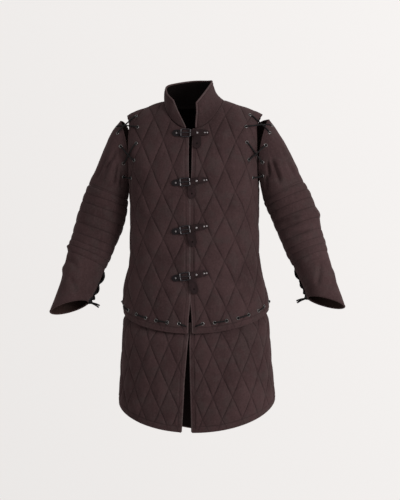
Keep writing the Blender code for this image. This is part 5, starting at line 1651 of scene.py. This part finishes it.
class Seat:
    """The front of the coat under one closure: its cloth's height, smoothed along x."""

    def __init__(self, closure, ground):
        self.closure = closure
        self.xs = np.linspace(-CLOSURE_HALF, CLOSURE_HALF, 37)
        zs = np.linspace(-STRAP_HEIGHT / 2, STRAP_HEIGHT / 2, 7)
        heights = self.cloth(self.xs, zs, ground).max(axis=1)
        self.heights = windowed(windowed(heights, 4, np.max), 3, np.mean) + CLEAR
        xs = closure.tail_x + np.linspace(-TAIL_WIDTH / 2, TAIL_WIDTH / 2, 6)
        foot = -STRAP_HEIGHT / 2 - closure.tail_length
        self.tail = float(self.cloth(xs, np.linspace(foot, 0, 14), ground).max()) + CLEAR

    def cloth(self, xs, zs, ground):
        x, z = (grid.ravel() for grid in np.meshgrid(xs, zs, indexing="ij"))
        points, normals = self.frame(x, z)
        found = [ground.height(Vector(point), Vector(normal))
                 for point, normal in zip(points, normals)]
        return np.array(found).reshape(len(xs), len(zs))

    def frame(self, x, z):
        x, z = tilted(np.asarray(x, float), np.asarray(z, float), self.closure)
        level, turn = place_from_front(np.where(x == 0, 1e-6, x), self.closure.height + z)
        return lining_at(level, turn)

    def lay(self, places):
        """Points for flat places of x, z and the lift over the seat."""
        x, z, lift = places.T
        points, normals = self.frame(x, z)
        seat = np.interp(x, self.xs, self.heights)
        hanging = smoothstep((-STRAP_HEIGHT / 2 - z) / 0.006)
        seat = seat + (np.maximum(seat, self.tail) - seat) * hanging
        return points + (seat + lift)[:, None] * normals

    def spot(self, x, z, lift):
        point = Vector(self.lay(np.array([[x, z, lift]]))[0])
        return Spot(point, Vector(self.frame(np.array([x]), np.array([z]))[1][0]))


def leather_plate(seat, outline, low):
    """A flat shape cut from leather with rounded corners, laid over the front."""
    bm = bmesh.new()
    bm.faces.new([bm.verts.new((x, z, 0)) for x, z in outline])
    bmesh.ops.bevel(bm, geom=bm.verts[:], offset=PLATE_ROUNDING, segments=3, profile=0.5,
                    affect="VERTICES", clamp_overlap=True, material=-1)
    xs, zs = [vert.co.x for vert in bm.verts], [vert.co.y for vert in bm.verts]
    cuts = [((x, 0, 0), (1, 0, 0)) for x in np.arange(min(xs) + 0.002, max(xs), PLATE_CELL)]
    cuts += [((0, z, 0), (0, 1, 0)) for z in np.arange(min(zs) + 0.002, max(zs), PLATE_CELL)]
    for place, direction in cuts:
        bmesh.ops.bisect_plane(bm, geom=bm.verts[:] + bm.edges[:] + bm.faces[:],
                               plane_co=place, plane_no=direction)
    top = set(extruded_verts(bm))
    for vert in top:
        vert.co.z = LEATHER
    bmesh.ops.recalc_face_normals(bm, faces=bm.faces)
    edges = [edge for edge in bm.edges
             if edge.calc_face_angle(0.0) > 0.9 and all(vert in top for vert in edge.verts)]
    bmesh.ops.bevel(bm, geom=edges, offset=PLATE_BEVEL, segments=2, profile=0.5, affect="EDGES",
                    clamp_overlap=True, material=-1)
    mesh = new_mesh(bm, "leather")
    places = vertex_places(mesh)
    places[:, 2] += low
    move_vertices(mesh, seat.lay(places))
    return rebuilt(mesh, "leather")


def rivet(spot, radius):
    """A domed rivet head."""
    bm = bmesh.new()
    bmesh.ops.create_uvsphere(bm, u_segments=20, v_segments=12, radius=radius)
    bmesh.ops.bisect_plane(bm, geom=bm.verts[:] + bm.edges[:] + bm.faces[:],
                           plane_co=(0, 0, 0), plane_no=(0, 0, 1), clear_inner=True)
    bmesh.ops.scale(bm, vec=(1, 1, RIVET_FLATNESS), verts=bm.verts)
    bmesh.ops.holes_fill(bm, edges=[edge for edge in bm.edges if len(edge.link_faces) == 1])
    bmesh.ops.recalc_face_normals(bm, faces=bm.faces)
    bm.transform(upright(spot))
    return new_mesh(bm, "rivet")


def rounded_loop(left, right, half, corner, count=6):
    """A rounded rectangle as a loop of flat places."""
    centres = ((right - corner, half - corner), (left + corner, half - corner),
               (left + corner, -half + corner), (right - corner, -half + corner))
    loop = []
    for quarter, (cx, cz) in enumerate(centres):
        for number in range(count + 1):
            angle = math.radians(90 * quarter + 90 * number / count)
            loop.append((cx + corner * math.cos(angle), cz + corner * math.sin(angle)))
    return loop


def buckle_meshes(seat):
    """A frame with rounded corners and its prong, and the two bright bars."""
    wire = BUCKLE_WIRE
    low = LEATHER + CLEAR + wire / 2
    left, right = BUCKLE_LEFT_BAR, BUCKLE_RIGHT_BAR
    loop = np.array(rounded_loop(left, right, BUCKLE_HEIGHT / 2 - wire / 2, BUCKLE_CORNER))
    dense = []
    for first, second in zip(loop, np.roll(loop, -1, axis=0)):
        count = max(1, int(np.hypot(*(second - first)) / BUCKLE_STEP))
        dense += [first + (second - first) * i / count for i in range(count)]
    dense.append(dense[0])
    flat = np.array([(x, z, low) for x, z in dense])
    frame = tube(seat.lay(flat), wire / 2, 12)
    xs = np.linspace(left, right + 0.002, 14)
    arch = np.array([(x, 0.0, low + wire * 0.75 + PRONG_ARCH * math.sin(math.pi * i / 13))
                     for i, x in enumerate(xs)])
    prong = tube(seat.lay(arch), PRONG_RADIUS, 8)
    zs = np.linspace(-ROLLER / 2, ROLLER / 2, 8)
    bars = [np.array([(x, z, low + ROLLER_LIFT) for z in zs]) for x in (left, right)]
    rollers = [tube(seat.lay(bar), wire / 2 + ROLLER_SWELL, 12) for bar in bars]
    return [frame, prong], rollers


def closure_part(number, part, meshes, slot, finish):
    add_piece(f"fine_closure_{number}_{part}", joined(meshes, part), slot, finish,
              replaces=[f"closure_{number}_{part}"], smooth=50)


def closure_pieces(number, closure, ground):
    """One closure: its tab, its strap with the hanging tail, buckle, rivets and hole."""
    seat = Seat(closure, ground)
    half = STRAP_HEIGHT / 2
    tab_end = BUCKLE_LEFT_BAR - BUCKLE_WIRE / 2 - CLEAR
    tab_outline = [(-CLOSURE_HALF, 0), (-CLOSURE_HALF + 0.004, -half * 0.62),
                   (-CLOSURE_HALF + 0.011, -half * 0.95), (tab_end, -half * 0.8),
                   (tab_end, half * 0.8), (-CLOSURE_HALF + 0.011, half * 0.95),
                   (-CLOSURE_HALF + 0.004, half * 0.62)]
    loop_outline = [(tab_end - 0.006, -half * 0.55), (tab_end + 0.0052, -half * 0.55),
                    (tab_end + 0.0052, half * 0.55), (tab_end - 0.006, half * 0.55)]
    loop_lift = LEATHER + BUCKLE_WIRE * 0.55
    closure_part(number, "tab", [leather_plate(seat, tab_outline, 0.0),
                                 leather_plate(seat, loop_outline, loop_lift)],
                 "leather", TAB_LEATHER)

    start = BUCKLE_LEFT_BAR + BUCKLE_WIRE / 2 + 0.0012
    strap = [(start, -half * 0.8), (CLOSURE_HALF - 0.010, -half * 0.8),
             (CLOSURE_HALF - 0.002, -half * 0.4), (CLOSURE_HALF, 0),
             (CLOSURE_HALF - 0.002, half * 0.4), (CLOSURE_HALF - 0.010, half * 0.8),
             (0.020, half), (start, half * 0.8)]
    left, right = closure.tail_x - TAIL_WIDTH / 2, closure.tail_x + TAIL_WIDTH / 2
    foot = -half - closure.tail_length
    tail = [(left + 0.002, 0.0), (left, foot + 0.010), (left + 0.0045, foot + 0.003),
            (closure.tail_x - 0.004, foot), (closure.tail_x + 0.004, foot),
            (right - 0.0045, foot + 0.003), (right, foot + 0.010), (right - 0.002, 0.0)]
    closure_part(number, "strap", [leather_plate(seat, strap, STRAP_LIFT),
                                   leather_plate(seat, tail, 0.0)], "leather", STRAP_LEATHER)
    buckle, rollers = buckle_meshes(seat)
    closure_part(number, "buckle", buckle, "metal", BUCKLE_METAL)
    # the two bars in the paler steel of the painted highlight
    add_piece(f"rollers_{number}", joined(rollers, "rollers"), "metal", HIGHLIGHT_BAR_METAL)

    top = LEATHER + STRAP_LIFT
    on_tab, on_strap, at_end = RIVET_SIZES
    heads = [(TAB_RIVET, LEATHER, on_tab), (STRAP_RIVET, top, on_strap)]
    heads += [(x, top, at_end) for x in END_RIVETS]
    rivets = [rivet(seat.spot(x, 0.0, lift), radius) for x, lift, radius in heads]
    add_piece(f"rivets_{number}", joined(rivets, "rivets"), "metal", RIVET_METAL)
    # the tail's punched hole: a dark disc of painted shade
    bm = bmesh.new()
    spot = seat.spot(closure.tail_x, foot + HOLE_RISE, LEATHER + 0.0003)
    bmesh.ops.create_circle(bm, cap_ends=True, segments=20, radius=HOLE_RADIUS,
                            matrix=upright(spot))
    add_piece(f"tail_hole_{number}", new_mesh(bm, "hole"), "leather", BLACK_CLOTH_AND_SHADE)


# ---- laces of the coat
class WaistRow:
    """Distances round the body along the row of eyelets above the torso's lower edge."""

    def __init__(self, ground):
        self.ground = ground
        self.turns = np.linspace(0, np.pi, 121)
        points = lining_points(torso_hem(self.turns) + WAIST_RISE, self.turns)
        self.distances = np.pad(np.cumsum(steps(points)), (1, 0))
        self.pitch = (self.distances[-1] - WAIST_FIRST) / (2 * WAIST_DASHES + 0.5)

    def spot(self, distance, side):
        turn = float(np.interp(distance, self.distances, self.turns)) * side
        return body_spot(self.ground, torso_hem(turn) + WAIST_RISE, turn)


def waist_lacing(ground):
    """The row of eyelets round the waist and the lace that shows between them."""
    row = WaistRow(ground)
    meshes, spots, nodes = [], [], []
    for side, name in ((1, "left"), (-1, "right")):
        first = row.spot(WAIST_FIRST, side)
        start = row.spot(WAIST_START, side)
        below = start.place - LACE_SINK * start.normal - Vector((0, 0, WAIST_DROP))
        start = Spot(below, start.normal)
        meshes.append(lace(ground, start, first))
        spots.append(first)
        nodes.append(f"waist_lace_{name}_0")
        for number in range(1, WAIST_DASHES + 1):
            ends = [row.spot(WAIST_FIRST + row.pitch * (2 * number + i), side)
                    for i in (-1, 0)]
            meshes.append(lace(ground, *ends))
            spots += ends
            nodes.append(f"waist_lace_{name}_{number}")
    lace_piece("waist_lace", meshes, nodes)
    eyelets("eyelets_waist", spots, RING_METAL)


def armhole_lacing(sleeve, ground, sleeve_ground, torso_ground):
    """The crossed laces that hold a sleeve to the torso."""
    def on_torso(x, height, back=False):
        return body_spot(torso_ground, *place_from_front(x * sleeve.side, height, back))

    spots = []
    for cross in CROSSES:
        torso = [on_torso(*spot, cross.back) for spot in (cross.torso_high, cross.torso_low)]
        arm = [sleeve_spot(sleeve_ground, sleeve, *spot)
               for spot in (cross.sleeve_high, cross.sleeve_low)]
        crossed = [lace(ground, torso[0], arm[1]),
                   lace(ground, torso[1], arm[0], LACE_CROSSING)]
        lace_piece(f"armhole_lace_{cross.name}_{sleeve.name}", crossed)
        spots += torso + arm
    torso, arm = on_torso(*LOW_STITCH[0]), sleeve_spot(sleeve_ground, sleeve, *LOW_STITCH[1])
    lace_piece(f"armhole_lace_low_{sleeve.name}", [lace(ground, torso, arm)])
    eyelets(f"eyelets_armhole_{sleeve.name}", spots + [torso, arm], RING_METAL)


# ---- the coat
def panels():
    """The six quilted panels; the torso's three are handed back."""
    made = []
    for part, quilt, cloth, inset, shifts, outline in (
            ("torso", TORSO_QUILT, TORSO_CLOTH, None, TORSO_SHIFT, torso_outline),
            ("skirt", SKIRT_QUILT, SKIRT_CLOTH, skirt_inset, SKIRT_SHIFT, skirt_outline)):
        # the panels' insides get the dark body lining, partly painted shade
        front, back = Draft(False, quilt.origin), Draft(True, quilt.origin)
        for name, side in (("left", 1), ("right", -1)):
            made.append(quilted_panel(f"fine_{part}_front_{name}",
                                      Panel(front, side, inset, shifts[name]), quilt,
                                      outline(front, name), cloth, BODY_LINING_AND_SHADE))
        made.append(quilted_panel(f"fine_{part}_back", Panel(back, 1, inset), quilt,
                                  outline(back), cloth, BODY_LINING_AND_SHADE))
    return made[:3]


def sleeve_pieces(sleeve, torso):
    upper = sleeve_sheet(sleeve, "sleeve_upper", 0.0, ELBOW_START - SECTION_GAP, 90, 140,
                         plain_relief, EDGED_CLOTH)
    sleeve_sheet(sleeve, "sleeve_elbow", ELBOW_START + SECTION_GAP,
                 ELBOW_END - SECTION_GAP, 112, 96, channel_relief, CHANNEL_CLOTH)
    # the forearm in the lightened cloth of the painted light
    forearm = sleeve_sheet(sleeve, "sleeve_forearm", ELBOW_END + SECTION_GAP, CUFF, 60, 96,
                           plain_relief, LIT_FOREARM_CLOTH, slit=slit_half_angle)
    seam_roll(sleeve, "sleeve_head_edge", 0.0)
    half = float(slit_half_angle(CUFF))
    seam_roll(sleeve, "cuff_edge", CUFF, SLIT_TURN + half, SLIT_TURN + 2 * math.pi - half)
    gusset_piece(sleeve)
    knot, normal = forearm_lacing(sleeve, Ground([forearm]))
    inward = Vector((-sleeve.side, 0, 0))
    for end, way in TIE_WAYS.items():
        tie_end(f"tie_{sleeve.name}_{end}", knot, normal, inward + Vector(way))
    armhole_lacing(sleeve, Ground(torso + [upper]), Ground([upper]), Ground(torso))


def floor():
    """A pale sheet of paper on the ground below the coat."""
    bm = bmesh.new()
    bmesh.ops.create_grid(bm, x_segments=1, y_segments=1, size=FLOOR_HALF)
    mesh = new_mesh(bm, "floor")
    mesh.transform(Matrix.Translation((0, 0, FLOOR_LEVEL)))
    made = linked("floor", mesh)
    mesh.materials.append(floor_material())


def surround():
    """A pale surround, a little brighter towards the upper right."""
    world = bpy.data.worlds.new("studio")
    nodes = Nodes(world, "Background")
    lean = nodes.chain("ShaderNodeVectorMath", (nodes.place["Generated"], (0.26, 0.0, 0.12)),
                       operation="DOT_PRODUCT")["Value"]
    nodes.plug((1.0, 0.972, 0.955, 1), nodes.shader["Color"])
    nodes.plug(nodes.math("MULTIPLY_ADD", lean, SURROUND, SURROUND), nodes.shader["Strength"])
    bpy.context.scene.world = world


def key_light():
    """A large soft lamp from the wearer's left."""
    light = bpy.data.lights.new("key", "AREA")
    light.shape = "SQUARE"
    light.size = KEY_SIZE
    light.energy = KEY_POWER
    light.color = (1.0, 0.985, 0.97)
    made = linked("key", light)
    made.location = KEY_PLACE
    toward = Vector(KEY_TARGET) - Vector(KEY_PLACE)
    made.rotation_euler = toward.to_track_quat("-Z", "Y").to_euler()


def camera():
    """A level view of the front that holds the whole coat."""
    cos, sin = math.cos(CAMERA_TURN), math.sin(CAMERA_TURN)
    target = Vector((CAMERA_SHIFT * cos, CAMERA_SHIFT * sin, CAMERA_HEIGHT))
    made = linked("camera", bpy.data.cameras.new("camera"))
    made.location = target + CAMERA_DISTANCE * Vector((sin, -cos, 0))
    made.rotation_euler = (math.pi / 2, 0, CAMERA_TURN)
    made.data.sensor_fit = "VERTICAL"
    made.data.angle = 2 * math.atan(VIEW_HALF / CAMERA_DISTANCE)
    bpy.context.scene.camera = made


def dress():
    torso = panels()
    collar_piece()
    for name in ("left", "right"):
        sleeve_pieces(Sleeve(name), torso)
    front = Ground(torso[:2])
    for number, closure in enumerate(CLOSURES, 1):
        closure_pieces(number, closure, front)
    waist_lacing(Ground(torso))
    floor()
    bpy.context.scene.view_settings.view_transform = "Standard"
    surround()
    key_light()
    camera()


dress()
